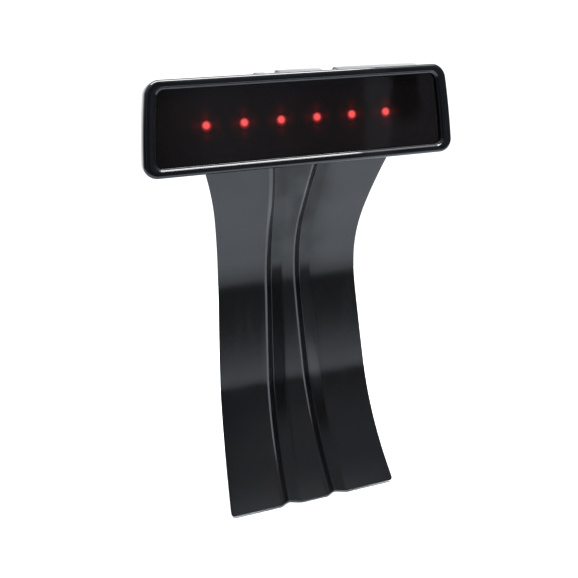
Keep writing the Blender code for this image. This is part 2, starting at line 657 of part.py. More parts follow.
def shell_bosses(bm):
    for x, z in screw_spots:
        start = max(mast_y(z - BOSS_R), mast_y(z + BOSS_R)) + 1.2
        cylinder(bm, x, z, start, boss_end(x, z), BOSS_R, 12)


def shell_boss_holes(bm):
    for x, z in screw_spots:
        cylinder(bm, x, z, boss_end(x, z) - BOSS_HEIGHT + 0.6, boss_end(x, z) + 1.0, 1.55, 10)


boolean(shell, 'UNION', shell_bosses, "shell_bosses")
boolean(shell, 'DIFFERENCE', shell_boss_holes, "shell_boss_holes")


# Core frame: hourglass wall with cross ribs, cut to the back of the shell.
def core_half_width(z):
    if z > CORE_SHELF_Z:
        return CORE_HEAD_HALF
    return mast_half_width(z) - CORE_EDGE_INSET


def core_outline(inset, low, high, steps=14):
    """(x, z) outline of the core between two heights, pulled in by inset."""
    zs = [low + (high - low) * i / steps for i in range(steps + 1)]
    right = [(core_half_width(z) - inset, z) for z in zs]
    return right + [(-x, z) for x, z in reversed(right)]


def core_pocket(low, high, x0, x1, steps):
    """One pocket between two ribs; x0 and x1 are functions of z."""
    zs = [low + (high - low) * i / steps for i in range(steps + 1)]
    return [(x1(z), z) for z in zs] + [(x0(z), z) for z in reversed(zs)]


rib_levels = [CORE_SHELF_Z - CORE_RIB / 2] + list(CORE_RIBS_Z)
levels = [CORE_TOP_Z] + rib_levels + [CORE_BOTTOM_Z]
pockets = []
for k in range(len(levels) - 1):
    high = levels[k] - (CORE_WALL if k == 0 else CORE_RIB / 2)
    low = levels[k + 1] + (CORE_WALL if k == len(levels) - 2 else CORE_RIB / 2)
    wall = lambda z: core_half_width(z) - CORE_WALL
    near, far = CORE_UPRIGHT_X - CORE_RIB / 2, CORE_UPRIGHT_X + CORE_RIB / 2
    pockets.append(core_pocket(low, high, lambda z: -near, lambda z: near, 1))
    pockets.append(core_pocket(low, high, lambda z: far, wall, 4))
    pockets.append(core_pocket(low, high, lambda z: -wall(z), lambda z: -far, 4))

zs_outer = [CORE_BOTTOM_Z + (CORE_SHELF_Z - 1.1 - CORE_BOTTOM_Z) * i / 14 for i in range(15)]
right_side = [(core_half_width(z), z) for z in zs_outer] + [(CORE_HEAD_HALF, CORE_SHELF_Z + 2.0), (CORE_HEAD_HALF, CORE_TOP_Z)]
outline = right_side + [(-x, z) for x, z in reversed(right_side)]
core = prism("mast_core_frame", [outline], 14.0, CORE_BACK_Y, MATTE_BLACK)
bm = bmesh.new()
bm.from_mesh(core.data)
bmesh.ops.dissolve_limit(bm, angle_limit=math.radians(0.05), verts=bm.verts, edges=bm.edges)
bm.to_mesh(core.data)
bm.free()
HEAD_PLATE_Y = (TUB_BACK_Y + GAP, TUB_BACK_Y + GAP + 3.0)


def core_pockets(bm):
    for pocket in pockets:
        loops_solid(bm, [[(x, y, z) for x, z in pocket] for y in (4.0, CORE_BACK_Y + 2.0)])


def core_bosses(bm):
    for x, z in screw_spots:
        cylinder(bm, x, z, boss_end(x, z) - 4.0, CORE_BACK_Y - 0.4, 4.9, 12)


def core_head_plate(bm):
    box(bm, (-CORE_HEAD_HALF + 1.3, CORE_HEAD_HALF - 1.3), HEAD_PLATE_Y, (CORE_SHELF_Z - 1.5, CORE_TOP_Z - 1.2))


def core_front_cut(bm):
    """Everything in front of the shell's back, and the room for the tub."""
    back = SHELL_THICK / math.cos(math.radians(28.0)) + GAP + 0.15
    zs = [CORE_BOTTOM_Z - 6.0 + (CORE_SHELF_Z + 0.8 - CORE_BOTTOM_Z + 6.0) * i / 18 for i in range(19)]
    rows = []
    for z in zs:
        c, w = channel_x(z), down(z, CHANNEL_HALF_WIDTH) + 1.8
        sink = down(z, CHANNEL_DEPTH) + 0.3
        right = [(0.0, 0.0), (c - w, 0.0), (c - 1.6, sink), (c + 1.6, sink), (c + w, 0.0), (58.0, 0.0)]
        row = [(-x, s) for x, s in reversed(right[1:])] + right
        rows.append([(x, mast_y(max(z, MAST_BOTTOM_Z)) + back + s, z) for x, s in row] +
                    [(58.0, -5.0, z), (-58.0, -5.0, z)])
    loops_solid(bm, rows)


def core_tub_cut(bm):
    box(bm, (-60.0, 60.0), (-5.0, TUB_BACK_Y + GAP + 0.6), (CORE_SHELF_Z - 0.5, CORE_TOP_Z + 5.0))


def core_holes(bm):
    for x, z in screw_spots:
        cylinder(bm, x, z, 5.0, boss_end(x, z) + GAP, BOSS_R + GAP, 12)
        cylinder(bm, x, z, boss_end(x, z) - 3.0, CORE_BACK_Y + 1.0, 1.65, 10)
    for sx in (-1, 1):
        for sz in (-1, 1):
            cylinder(bm, sx * HEAD_SCREW_AT[0], sz * HEAD_SCREW_AT[1] + HEAD_CENTRE_Z - 4.0,
                     HEAD_PLATE_Y[0] - 1, HEAD_PLATE_Y[1] + 1, 1.9, 12)


boolean(core, 'DIFFERENCE', core_pockets, "core_pockets")
boolean(core, 'UNION', core_bosses, "core_bosses")
boolean(core, 'DIFFERENCE', core_front_cut, "core_front_cut")
boolean(core, 'DIFFERENCE', core_tub_cut, "core_tub_cut")
boolean(core, 'UNION', core_head_plate, "core_head_plate")
boolean(core, 'DIFFERENCE', core_holes, "core_holes")

# Foam strip between the tub's floor and the core's shelf.
bm = bmesh.new()
box(bm, (-42.0, 42.0), (22.0, 32.5), (CORE_SHELF_Z + GAP, HEAD_CENTRE_Z - HEAD_HALF_HEIGHT + TUB_FRONT_INSET - GAP - 0.2))
object_from_bmesh("neck_seal", bm, FOAM)

# Head screws, driven from behind through the core's plate into the tub.
shank = HEAD_PLATE_Y[1] + GAP - 26.0
head_screw = turned("head_screw_1", [(0.0, 2.2), (2.2, 2.2), (3.4, 0.7), (3.4, 0.0), (1.55, 0.0),
                                     (1.55, -shank), (0.0, -shank - 1.1)], 10, ZINC,
                    (-HEAD_SCREW_AT[0], HEAD_PLATE_Y[1] + GAP, -HEAD_SCREW_AT[1] + HEAD_CENTRE_Z - 4.0), 'rear')
for n, (sx, sz) in enumerate(((1, -1), (-1, 1), (1, 1))):
    copy_of(head_screw, "head_screw_%d" % (n + 2),
            (sx * HEAD_SCREW_AT[0], HEAD_PLATE_Y[1] + GAP, sz * HEAD_SCREW_AT[1] + HEAD_CENTRE_Z - 4.0))

# Rear cover: the core's outline with a round rear edge.
COVER_Y = (CORE_BACK_Y + GAP, CORE_BACK_Y + GAP + COVER_THICK)
cover = prism("mast_rear_cover", [outline], COVER_Y[0], COVER_Y[1], SATIN_BLACK)


def cover_holes(bm):
    for x, z in screw_spots:
        cylinder(bm, x, z, COVER_Y[0] - 1, COVER_Y[1] + 1, 1.7, 12)
    for sx in (-1, 1):
        for sz in (-1, 1):
            cylinder(bm, sx * STUD_AT[0], sz * STUD_AT[1] + PLATE_Z, COVER_Y[0] - 1, COVER_Y[1] + 1, STUD_R + GAP, 12)


boolean(cover, 'DIFFERENCE', cover_holes, "cover_holes")

# Mast screws: through the cover and the core's tubes into the shell's bosses.
for n, (x, z) in enumerate(screw_spots):
    seat = COVER_Y[1] + GAP
    shank = seat - (boss_end(x, z) - BOSS_HEIGHT + 1.4)
    turned("mast_screw_%d" % (n + 1), [(0.0, 2.3), (2.3, 2.3), (3.6, 0.8), (3.6, 0.0), (1.25, 0.0),
                                       (1.25, -shank), (0.0, -shank)], 10, ZINC, (x, seat, z), 'rear')

# Mounting plate and its studs.
plate_y = (COVER_Y[1] + GAP, COVER_Y[1] + GAP + PLATE_THICK)
plate_shape = [(x, z + PLATE_Z) for x, z in rounded_rect(*PLATE_HALF, 6.0, 5, 0)]
plate = prism("mounting_plate", [plate_shape], plate_y[0], plate_y[1], STEEL)


def plate_holes(bm):
    for sx in (-1, 1):
        for sz in (-1, 1):
            cylinder(bm, sx * STUD_AT[0], sz * STUD_AT[1] + PLATE_Z, plate_y[0] - 1, plate_y[1] + 1, STUD_R + GAP, 12)


boolean(plate, 'DIFFERENCE', plate_holes, "plate_holes")
stud_seat = COVER_Y[0] - GAP
reach = plate_y[1] + STUD_LENGTH - stud_seat
stud = turned("mounting_stud_1", [(0.0, reach), (STUD_R - 0.7, reach), (STUD_R, reach - 0.8), (STUD_R, 0.0),
                                  (6.5, 0.0), (6.5, -2.3), (0.0, -2.3)], 12, ZINC,
              (-STUD_AT[0], stud_seat, PLATE_Z - STUD_AT[1]), 'rear')
for n, (sx, sz) in enumerate(((1, -1), (-1, 1), (1, 1))):
    copy_of(stud, "mounting_stud_%d" % (n + 2), (sx * STUD_AT[0], stud_seat, sz * STUD_AT[1] + PLATE_Z))

# Rubber pads that rest on the vehicle beside the spare wheel carrier.
for side, sx in (("left", -1), ("right", 1)):
    bm = bmesh.new()
    y0 = COVER_Y[1] + GAP
    loops_solid(bm, [[(x + sx * PAD_AT[0], y, z + PAD_AT[1]) for x, z in rounded_rect(PAD_HALF[0] - d, PAD_HALF[1] - d, 2.5, 3, 0)]
                     for y, d in ((y0, 0.0), (y0 + 2.4, 0.0), (y0 + PLATE_THICK, 0.8))])
    object_from_bmesh("rear_pad_" + side, bm, RUBBER)
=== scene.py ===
import json
import math
import random

import bpy
import bmesh
import numpy as np
from mathutils import Matrix, Vector

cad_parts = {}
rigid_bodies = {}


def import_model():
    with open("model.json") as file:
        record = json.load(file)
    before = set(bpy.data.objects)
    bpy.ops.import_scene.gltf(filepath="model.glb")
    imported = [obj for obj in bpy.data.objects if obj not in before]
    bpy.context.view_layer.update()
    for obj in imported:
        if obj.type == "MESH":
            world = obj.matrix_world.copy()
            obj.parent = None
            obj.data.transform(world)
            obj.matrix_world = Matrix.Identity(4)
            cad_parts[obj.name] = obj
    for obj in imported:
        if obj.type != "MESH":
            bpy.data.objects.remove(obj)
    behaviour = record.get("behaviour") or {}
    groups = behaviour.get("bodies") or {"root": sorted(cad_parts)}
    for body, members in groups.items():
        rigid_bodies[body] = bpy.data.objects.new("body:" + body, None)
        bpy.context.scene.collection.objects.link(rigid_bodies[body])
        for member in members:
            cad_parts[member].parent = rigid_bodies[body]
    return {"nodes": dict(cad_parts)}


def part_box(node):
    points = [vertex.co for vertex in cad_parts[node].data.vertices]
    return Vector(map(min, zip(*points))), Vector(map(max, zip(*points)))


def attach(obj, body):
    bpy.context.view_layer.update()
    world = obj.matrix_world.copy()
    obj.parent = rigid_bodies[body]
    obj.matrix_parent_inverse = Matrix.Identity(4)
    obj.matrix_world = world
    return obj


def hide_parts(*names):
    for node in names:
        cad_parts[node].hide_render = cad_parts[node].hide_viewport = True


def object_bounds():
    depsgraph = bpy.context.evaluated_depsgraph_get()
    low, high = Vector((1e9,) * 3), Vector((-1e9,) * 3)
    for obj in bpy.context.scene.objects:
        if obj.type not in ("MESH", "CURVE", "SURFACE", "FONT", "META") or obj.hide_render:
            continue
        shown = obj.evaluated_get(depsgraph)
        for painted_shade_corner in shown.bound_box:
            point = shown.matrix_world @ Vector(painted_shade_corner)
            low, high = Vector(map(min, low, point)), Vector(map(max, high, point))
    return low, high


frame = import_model()
CAD_LOW, CAD_HIGH = [list(c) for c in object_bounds()]

MM = 0.001
DATUM_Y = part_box("lens_bezel")[0].y                                      # the rim's front plane
DATUM_Z = (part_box("led_1")[0].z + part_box("led_1")[1].z) / 2              # the LED axis
FLOOR_Z = CAD_LOW[2] - 0.0004


def world(p):
    """Datum millimetres to metres in the row's frame."""
    return Vector((p[0] * MM, p[1] * MM + DATUM_Y, p[2] * MM + DATUM_Z))


def centre_of(node):
    lo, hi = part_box(node)
    return (lo + hi) / 2


# ================================================================ camera
AZ, EL, ROLL = math.radians(22.79), math.radians(13.17), math.radians(-2.96)
forward = Vector((math.sin(AZ) * math.cos(EL), math.cos(AZ) * math.cos(EL), -math.sin(EL)))
right = Vector((math.cos(AZ), -math.sin(AZ), 0.0))
up = right.cross(forward)
right_r = math.cos(ROLL) * right + math.sin(ROLL) * up
up_r = -math.sin(ROLL) * right + math.cos(ROLL) * up
cam_data = bpy.data.cameras.new("camera")
cam_data.lens = 62.28
cam_data.sensor_width = 36.0
cam_data.clip_start = 0.01
cam = bpy.data.objects.new("camera", cam_data)
bpy.context.scene.collection.objects.link(cam)
turn = Matrix((right_r, up_r, -forward)).transposed().to_4x4()
cam.matrix_world = Matrix.Translation(world((-255.8, -567.3, 39.7))) @ turn
bpy.context.scene.camera = cam
bpy.context.scene.view_settings.view_transform = 'Standard'
bpy.context.scene.view_settings.look = 'None'


# ================================================================ node helpers
class Nodes:
    """Short ways to add shader nodes to a material or to the world."""

    def __init__(self, tree):
        self.tree = tree
        self.x = -1800

    def add(self, kind, **props):
        node = self.tree.nodes.new(kind)
        self.x += 40
        node.location = (self.x, 0)
        for key, value in props.items():
            setattr(node, key, value)
        return node

    def link(self, a, b):
        self.tree.links.new(a, b)

    def feed(self, socket, value):
        if isinstance(value, bpy.types.NodeSocket):
            self.link(value, socket)
        else:
            socket.default_value = value

    def math(self, operation, a, b=0.0, c=0.0, clamp=False):
        node = self.add('ShaderNodeMath', operation=operation, use_clamp=clamp)
        for socket, value in zip(node.inputs, (a, b, c)):
            self.feed(socket, value)
        return node.outputs[0]

    def vmath(self, operation, a, b=(0, 0, 0)):
        node = self.add('ShaderNodeVectorMath', operation=operation)
        self.feed(node.inputs[0], a)
        self.feed(node.inputs[1], b)
        return node.outputs[1] if operation in ('LENGTH', 'DISTANCE', 'DOT_PRODUCT') else node.outputs[0]

    def place(self, scale=(1, 1, 1), shift=(0, 0, 0)):
        coord = self.add('ShaderNodeTexCoord')
        mapping = self.add('ShaderNodeMapping')
        mapping.inputs['Scale'].default_value = scale
        mapping.inputs['Location'].default_value = shift
        self.link(coord.outputs['Object'], mapping.inputs['Vector'])
        return mapping.outputs[0]

    def noise(self, where, scale, detail=3.0, rough=0.5, distortion=0.0):
        node = self.add('ShaderNodeTexNoise')
        self.link(where, node.inputs['Vector'])
        node.inputs['Scale'].default_value = scale
        node.inputs['Detail'].default_value = detail
        node.inputs['Roughness'].default_value = rough
        node.inputs['Distortion'].default_value = distortion
        return node.outputs[0]

    def cells(self, where, scale, feature='F1', randomness=1.0):
        node = self.add('ShaderNodeTexVoronoi', feature=feature)
        self.link(where, node.inputs['Vector'])
        node.inputs['Scale'].default_value = scale
        node.inputs['Randomness'].default_value = randomness
        return node

    def span(self, value, low, high, to_low=0.0, to_high=1.0, soft=True):
        node = self.add('ShaderNodeMapRange')
        node.interpolation_type = 'SMOOTHSTEP' if soft else 'LINEAR'
        node.clamp = True
        self.feed(node.inputs[0], value)
        for i, v in enumerate((low, high, to_low, to_high)):
            self.feed(node.inputs[i + 1], v)
        return node.outputs[0]

    def blend(self, factor, a, b, kind='MIX'):
        node = self.add('ShaderNodeMix', data_type='RGBA', blend_type=kind)
        self.feed(node.inputs[0], factor)
        self.feed(node.inputs[6], (*a, 1.0) if isinstance(a, tuple) and len(a) == 3 else a)
        self.feed(node.inputs[7], (*b, 1.0) if isinstance(b, tuple) and len(b) == 3 else b)
        return node.outputs[2]

    def bump(self, height, strength, distance, under=None):
        node = self.add('ShaderNodeBump')
        node.inputs['Strength'].default_value = strength
        node.inputs['Distance'].default_value = distance
        self.link(height, node.inputs['Height'])
        if under is not None:
            self.link(under, node.inputs['Normal'])
        return node.outputs[0]


def new_material(name, roughness=0.3, metallic=0.0, **constants):
    mat = bpy.data.materials.new(name)
    mat.use_nodes = True
    shader = mat.node_tree.nodes["Principled BSDF"]
    shader.inputs['Roughness'].default_value = roughness
    shader.inputs['Metallic'].default_value = metallic
    for key, value in constants.items():
        shader.inputs[key.replace('_', ' ')].default_value = value
    return mat, Nodes(mat.node_tree), shader


def dust(n, where, scale, size, share):
    """1 on sparse small grains, 0 elsewhere; share is how many of the cells hold a grain."""
    cell = n.cells(where, scale)
    grain = n.span(cell.outputs['Distance'], size * 0.4, size, 1.0, 0.0)
    pick = n.math('GREATER_THAN', n.vmath('DOT_PRODUCT', cell.outputs['Color'], (0.577, 0.577, 0.577)), 1.0)
    node = n.math('MULTIPLY', grain, pick)
    keep = n.math('GREATER_THAN', n.noise(where, scale * 0.11, 2.0), 1.0 - share)
    return n.math('MULTIPLY', node, keep)


def moulded_plastic(name, base, tint, rough, rough_more, peel, peel_size, dust_share=0.3, scratch=0.0, smear=0.03,
                    dust_colour=(0.3, 0.3, 0.31), grain=0.0, smudge=False):
    """Moulded black plastic: colour drift, smears that change the gloss, orange peel, hairlines and dust."""
    mat, n, shader = new_material(name)
    where = n.place()
    drift = n.noise(where, 26.0, 4.0, 0.55, 0.6)
    fine = n.noise(where, 900.0, 3.0)
    colour = n.blend(n.span(drift, 0.35, 0.68), base, tint)
    grains = dust(n, where, 240.0, 0.055, dust_share)
    if smudge:
        # Dull, faintly brown handling marks, mostly between the channels high on the mast.
        split = n.add('ShaderNodeSeparateXYZ')
        n.link(where, split.inputs[0])
        middle = n.span(n.math('ABSOLUTE', n.math('ADD', split.outputs[0], -0.004)), 0.008, 0.032, 1.0, 0.15)
        high = n.span(split.outputs[2], 0.085, 0.125)
        clouds = n.span(n.noise(where, 34.0, 2.0, 0.45, 0.15), 0.36, 0.64)
        mark = n.math('MULTIPLY', n.math('MULTIPLY', middle, high), n.math('ADD', n.math('MULTIPLY', clouds, 0.7), 0.3))
        colour = n.blend(n.math('MULTIPLY', mark, 0.5), colour, (0.0072, 0.0054, 0.0042))
        n.link(n.math('SUBTRACT', 0.5, n.math('MULTIPLY', mark, 0.22)), shader.inputs['Specular IOR Level'])
    colour = n.blend(n.math('MULTIPLY', grains, 0.55), colour, dust_colour)
    n.link(colour, shader.inputs['Base Color'])
    smears = n.span(n.noise(n.place((1.0, 1.0, 0.35)), 42.0, 5.0, 0.62, 1.2), 0.42, 0.72)
    gloss = n.math('ADD', n.math('MULTIPLY', smears, smear), rough)
    gloss = n.math('ADD', gloss, n.math('MULTIPLY', fine, rough_more))
    gloss = n.math('ADD', gloss, n.math('MULTIPLY', grains, 0.5), clamp=True)
    n.link(gloss, shader.inputs['Roughness'])
    normal = n.bump(n.noise(where, 1000.0 / peel_size, 2.0, 0.4), peel, 0.0001)
    if grain > 0.0:
        normal = n.bump(n.noise(where, 5200.0, 2.0, 0.6), grain, 0.00004, normal)
    if scratch > 0.0:
        lines = n.noise(n.place((1.0, 1.0, 0.02)), 2600.0, 1.0)
        mask = n.span(n.noise(where, 55.0, 3.0), 0.55, 0.7)
        cut = n.math('MULTIPLY', n.span(lines, 0.7, 0.76), mask)
        normal = n.bump(cut, scratch, 0.00003, normal)
    n.link(normal, shader.inputs['Normal'])
    return mat


# ================================================================ materials
GLOSS = moulded_plastic("gloss_black_fine", (0.0018, 0.0022, 0.0030), (0.0026, 0.0030, 0.0038), 0.035, 0.012, 0.05, 3.2,
                        dust_share=0.36, scratch=0.05, smear=0.02)
SATIN = moulded_plastic("satin_black_fine", (0.0020, 0.0023, 0.0027), (0.0034, 0.0031, 0.0029), 0.075, 0.02, 0.09, 4.2,
                        dust_share=0.42, scratch=0.08, smear=0.05, smudge=True)
NYLON = moulded_plastic("matte_nylon_fine", (0.020, 0.020, 0.021), (0.028, 0.028, 0.029), 0.42, 0.12, 0.35, 1.4,
                        dust_share=0.38, scratch=0.12, smear=0.08, grain=0.5)

# Smoked acrylic: a dark tint that lets bright lamps through, polished faces, a few hairlines and grains.
SMOKED, n, shader = new_material("smoked_acrylic_fine", roughness=0.02, IOR=1.49, Alpha=0.86)
where = n.place()
tone = n.span(n.noise(where, 18.0, 3.0, 0.5, 0.4), 0.35, 0.7)
grains = dust(n, where, 260.0, 0.05, 0.34)
colour = n.blend(tone, (0.0031, 0.0018, 0.0019), (0.0042, 0.0027, 0.0027))
n.link(n.blend(n.math('MULTIPLY', grains, 0.35), colour, (0.2, 0.2, 0.2)), shader.inputs['Base Color'])
gloss = n.math('ADD', n.span(n.noise(n.place((1.0, 1.0, 0.4)), 34.0, 4.0, 0.6, 1.0), 0.45, 0.75, 0.018, 0.04),
               n.math('MULTIPLY', grains, 0.4))
n.link(gloss, shader.inputs['Roughness'])
lines = n.span(n.noise(n.place((0.03, 1.0, 1.0)), 2400.0, 1.0), 0.72, 0.77)
n.link(n.bump(lines, 0.03, 0.00002), shader.inputs['Normal'])

# Clear optics over the LEDs: the lit dome, brightest in its middle.
LED_X = [centre_of("led_%d" % (i + 1)).x for i in range(6)]
OPTIC_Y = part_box("led_optic_1")[0].y


def from_led_axis(n):
    """Distance in mm from the nearest LED's axis, and the two parts of it."""
    coord = n.add('ShaderNodeTexCoord')
    split = n.add('ShaderNodeSeparateXYZ')
    n.link(coord.outputs['Object'], split.inputs[0])
    pitch = LED_X[1] - LED_X[0]
    first = LED_X[0] - pitch / 2
    along = n.math('DIVIDE', n.math('SUBTRACT', split.outputs[0], first), pitch)
    which = n.math('MINIMUM', n.math('MAXIMUM', n.math('FLOOR', along), 0.0), 5.0)
    dx = n.math('MULTIPLY', n.math('SUBTRACT', n.math('SUBTRACT', along, which), 0.5), pitch / MM)
    dz = n.math('DIVIDE', n.math('SUBTRACT', split.outputs[2], DATUM_Z), MM)
    r = n.math('SQRT', n.math('ADD', n.math('MULTIPLY', dx, dx), n.math('MULTIPLY', dz, dz)))
    return r, dx, dz


GLOW = 64.0            # makes up for what the smoked lens holds back
GLOW_AT = (-0.75, 0.95)  # mm, where the lamp's bright middle sits beside its axis


def lamp_light(n, dx, dz):
    """Strength and colour of one lamp's light against its distance: core, soft skirt and four faint rays."""
    dx = n.math('SUBTRACT', dx, GLOW_AT[0])
    dz = n.math('SUBTRACT', dz, GLOW_AT[1])
    r = n.math('SQRT', n.math('ADD', n.math('MULTIPLY', dx, dx), n.math('MULTIPLY', dz, dz)))
    ramp = n.add('ShaderNodeValToRGB')
    n.link(n.span(r, 0.0, 12.0, 0.0, 1.0, soft=False), ramp.inputs[0])
    stops = [(0.0, 1.0), (1.75, 0.85), (2.3, 0.36), (2.9, 0.155), (3.6, 0.068), (4.8, 0.024), (6.2, 0.0165), (7.6, 0.0110), (9.0, 0.0060), (11.0, 0.0)]
    elements = ramp.color_ramp.elements
    for k, (mm, value) in enumerate(stops):
        e = elements[k] if k < 2 else elements.new(mm / 12.0)
        e.position = mm / 12.0
        e.color = (value, value, value, 1.0)
    angle = n.math('ARCTAN2', dz, dx)
    rays = n.math('POWER', n.math('ABSOLUTE', n.math('COSINE', n.math('MULTIPLY', angle, 2.0))), 4.0)
    star = n.math('ADD', n.math('MULTIPLY', rays, 0.9), 0.3)
    shape = n.blend(n.span(r, 3.2, 5.0), (1.0, 1.0, 1.0), star)
    level = n.math('MULTIPLY', n.math('MULTIPLY', ramp.outputs[0], shape), GLOW)
    colour = n.blend(n.span(r, 2.0, 3.6), (1.0, 0.098, 0.10), (1.0, 0.022, 0.03))
    return r, level, colour


DIE, n, shader = new_material("led_die_fine", roughness=0.3)
r, dx, dz = from_led_axis(n)
die = n.span(r, 0.9, 1.5, 1.0, 0.0)
shader.inputs['Specular IOR Level'].default_value = 0.2
n.link(n.blend(die, (0.80, 0.79, 0.74), (1.0, 0.25, 0.22)), shader.inputs['Base Color'])
n.link(n.blend(die, (0.6, 0.02, 0.02), (1.0, 0.2, 0.2)), shader.inputs['Emission Color'])
n.link(n.span(r, 0.9, 1.9, 6.0, 0.4), shader.inputs['Emission Strength'])
n.link(n.bump(n.noise(n.place(), 3000.0, 2.0), 0.2, 0.00003), shader.inputs['Normal'])

# Optic carrier: matte black, with the red spill of each LED painted on it as a glow (emission).
CARRIER, n, shader = new_material("carrier_fine", roughness=0.6)
where = n.place()
r, dx, dz = from_led_axis(n)
r, level, colour = lamp_light(n, dx, dz)
level = n.math('MINIMUM', level, 0.045 * GLOW)
grain = n.noise(where, 2400.0, 3.0, 0.6)
n.link(n.blend(grain, (0.003, 0.003, 0.0032), (0.007, 0.007, 0.0073)), shader.inputs['Base Color'])
shader.inputs['Specular IOR Level'].default_value = 0.1
n.link(colour, shader.inputs['Emission Color'])
n.link(n.math('MULTIPLY', level, n.span(grain, 0.2, 0.8, 0.85, 1.15)), shader.inputs['Emission Strength'])
n.link(n.bump(grain, 0.4, 0.00005), shader.inputs['Normal'])

# Clear optic over each LED, lit from below; its coordinates are about its own axis.
LIT, n, shader = new_material("lit_optic_fine", roughness=0.12, IOR=1.49)
coord = n.add('ShaderNodeTexCoord')
split = n.add('ShaderNodeSeparateXYZ')
n.link(coord.outputs['Object'], split.inputs[0])
r, level, colour = lamp_light(n, n.math('DIVIDE', split.outputs[0], MM), n.math('DIVIDE', split.outputs[1], MM))
facets = n.span(n.cells(n.place(), 2200.0, 'F1').outputs['Distance'], 0.1, 0.6, 1.0, 0.9)
n.link(n.blend(n.span(r, 1.8, 3.4), (0.35, 0.08, 0.08), (0.10, 0.006, 0.006)), shader.inputs['Base Color'])
shader.inputs['Specular IOR Level'].default_value = 0.15
n.link(colour, shader.inputs['Emission Color'])
level = n.math('MULTIPLY', level, n.span(n.math('DIVIDE', split.outputs[2], MM), -0.1, 0.8, 0.1, 1.0))
n.link(n.math('MULTIPLY', level, facets), shader.inputs['Emission Strength'])

# Circuit board: white mask, faint copper tracks under it.
BOARD, n, shader = new_material("board_fine", roughness=0.38)
where = n.place()
tracks = n.add('ShaderNodeTexBrick')
tracks.inputs['Scale'].default_value = 140.0
tracks.inputs['Mortar Size'].default_value = 0.035
tracks.inputs['Color1'].default_value = (0.70, 0.71, 0.69, 1)
tracks.inputs['Color2'].default_value = (0.74, 0.75, 0.72, 1)
tracks.inputs['Mortar'].default_value = (0.50, 0.53, 0.46, 1)
flat = n.place((1.0, 0.0, 1.0))
turned_map = n.add('ShaderNodeMapping')
turned_map.inputs['Rotation'].default_value = (math.radians(90), 0, 0)
n.link(flat, turned_map.inputs['Vector'])
n.link(turned_map.outputs[0], tracks.inputs['Vector'])
n.link(tracks.outputs['Color'], shader.inputs['Base Color'])
n.link(n.bump(tracks.outputs['Fac'], 0.3, 0.00003), shader.inputs['Normal'])
n.link(n.span(n.noise(where, 700.0), 0.3, 0.7, 0.32, 0.46), shader.inputs['Roughness'])


def speckled(name, a, b, scale, rough_low, rough_high, bump_strength, bump_depth, metallic=0.0, stretch=(1, 1, 1), **constants):
    """Two tones of one noise, with roughness and relief from the same field."""
    mat, n, shader = new_material(name, metallic=metallic, **constants)
    where = n.place(stretch)
    field = n.noise(where, scale, 5.0, 0.6)
    broad = n.noise(n.place(), scale * 0.06, 4.0, 0.6, 0.5)
    tone = n.math('MULTIPLY', n.math('ADD', field, broad), 0.5)
    n.link(n.blend(n.span(tone, 0.38, 0.64), a, b), shader.inputs['Base Color'])
    n.link(n.span(tone, 0.36, 0.66, rough_low, rough_high), shader.inputs['Roughness'])
    n.link(n.bump(field, bump_strength, bump_depth), shader.inputs['Normal'])
    return mat


RUBBER = speckled("rubber_fine", (0.016, 0.016, 0.016), (0.034, 0.033, 0.032), 1500.0, 0.62, 0.86, 0.5, 0.00008)
FOAM = speckled("foam_fine", (0.05, 0.05, 0.052), (0.17, 0.17, 0.175), 1300.0, 0.9, 1.0, 0.9, 0.0003)
STEEL = speckled("coated_steel_fine", (0.018, 0.018, 0.019), (0.034, 0.034, 0.036), 1100.0, 0.24, 0.44, 0.35, 0.00005)
ZINC = speckled("zinc_fine", (0.50, 0.50, 0.47), (0.70, 0.70, 0.69), 900.0, 0.20, 0.38, 0.25, 0.00003, metallic=1.0)
TIN = speckled("tin_fine", (0.58, 0.54, 0.45), (0.76, 0.72, 0.63), 1400.0, 0.18, 0.32, 0.2, 0.00002, metallic=1.0)
CAN = speckled("can_fine", (0.62, 0.62, 0.63), (0.80, 0.80, 0.81), 1800.0, 0.16, 0.34, 0.2, 0.00003, metallic=1.0, stretch=(1, 0.06, 1))
CHIP = speckled("epoxy_fine", (0.018, 0.018, 0.019), (0.040, 0.040, 0.042), 2600.0, 0.40, 0.62, 0.4, 0.00004)


# ================================================================ mesh helpers
def smooth(mesh, angle=32.0):
    mesh.shade_smooth()
    mesh.set_sharp_from_angle(angle=math.radians(angle))


def piece(name, bm, material, nodes, angle=32.0, recalc=True, metres=False):
    """bm in datum millimetres (or metres in the row's frame) becomes an object that stands for nodes."""
    if not metres:
        for v in bm.verts:
            v.co = world(v.co)
    if recalc:
        bmesh.ops.recalc_face_normals(bm, faces=bm.faces)
    mesh = bpy.data.meshes.new(name)
    bm.to_mesh(mesh)
    bm.free()
    smooth(mesh, angle)
    mesh.materials.append(material)
    obj = bpy.data.objects.new(name, mesh)
    bpy.context.scene.collection.objects.link(obj)
    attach(obj, "root")
    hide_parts(*nodes)
    return obj


def loops_solid(bm, loops, closed=False):
    rings = [[bm.verts.new(p) for p in loop] for loop in loops]
    count = len(rings[0])
    pairs = list(zip(rings, rings[1:])) + ([(rings[-1], rings[0])] if closed else [])
    for a, b in pairs:
        for i in range(count):
            j = (i + 1) % count
            bm.faces.new((a[i], a[j], b[j], b[i]))
    if not closed:
        bm.faces.new(rings[0])
        bm.faces.new(list(reversed(rings[-1])))


def edge_rounding(obj, width, segments=3, angle=38.0):
    bevel = obj.modifiers.new("edge_rounding", 'BEVEL')
    bevel.width = width * MM
    bevel.segments = segments
    bevel.limit_method = 'ANGLE'
    bevel.angle_limit = math.radians(angle)
    bevel.use_clamp_overlap = True
    bevel.miter_outer = 'MITER_ARC'
    weighted = obj.modifiers.new("weighted_normals", 'WEIGHTED_NORMAL')
    weighted.keep_sharp = True
    return obj


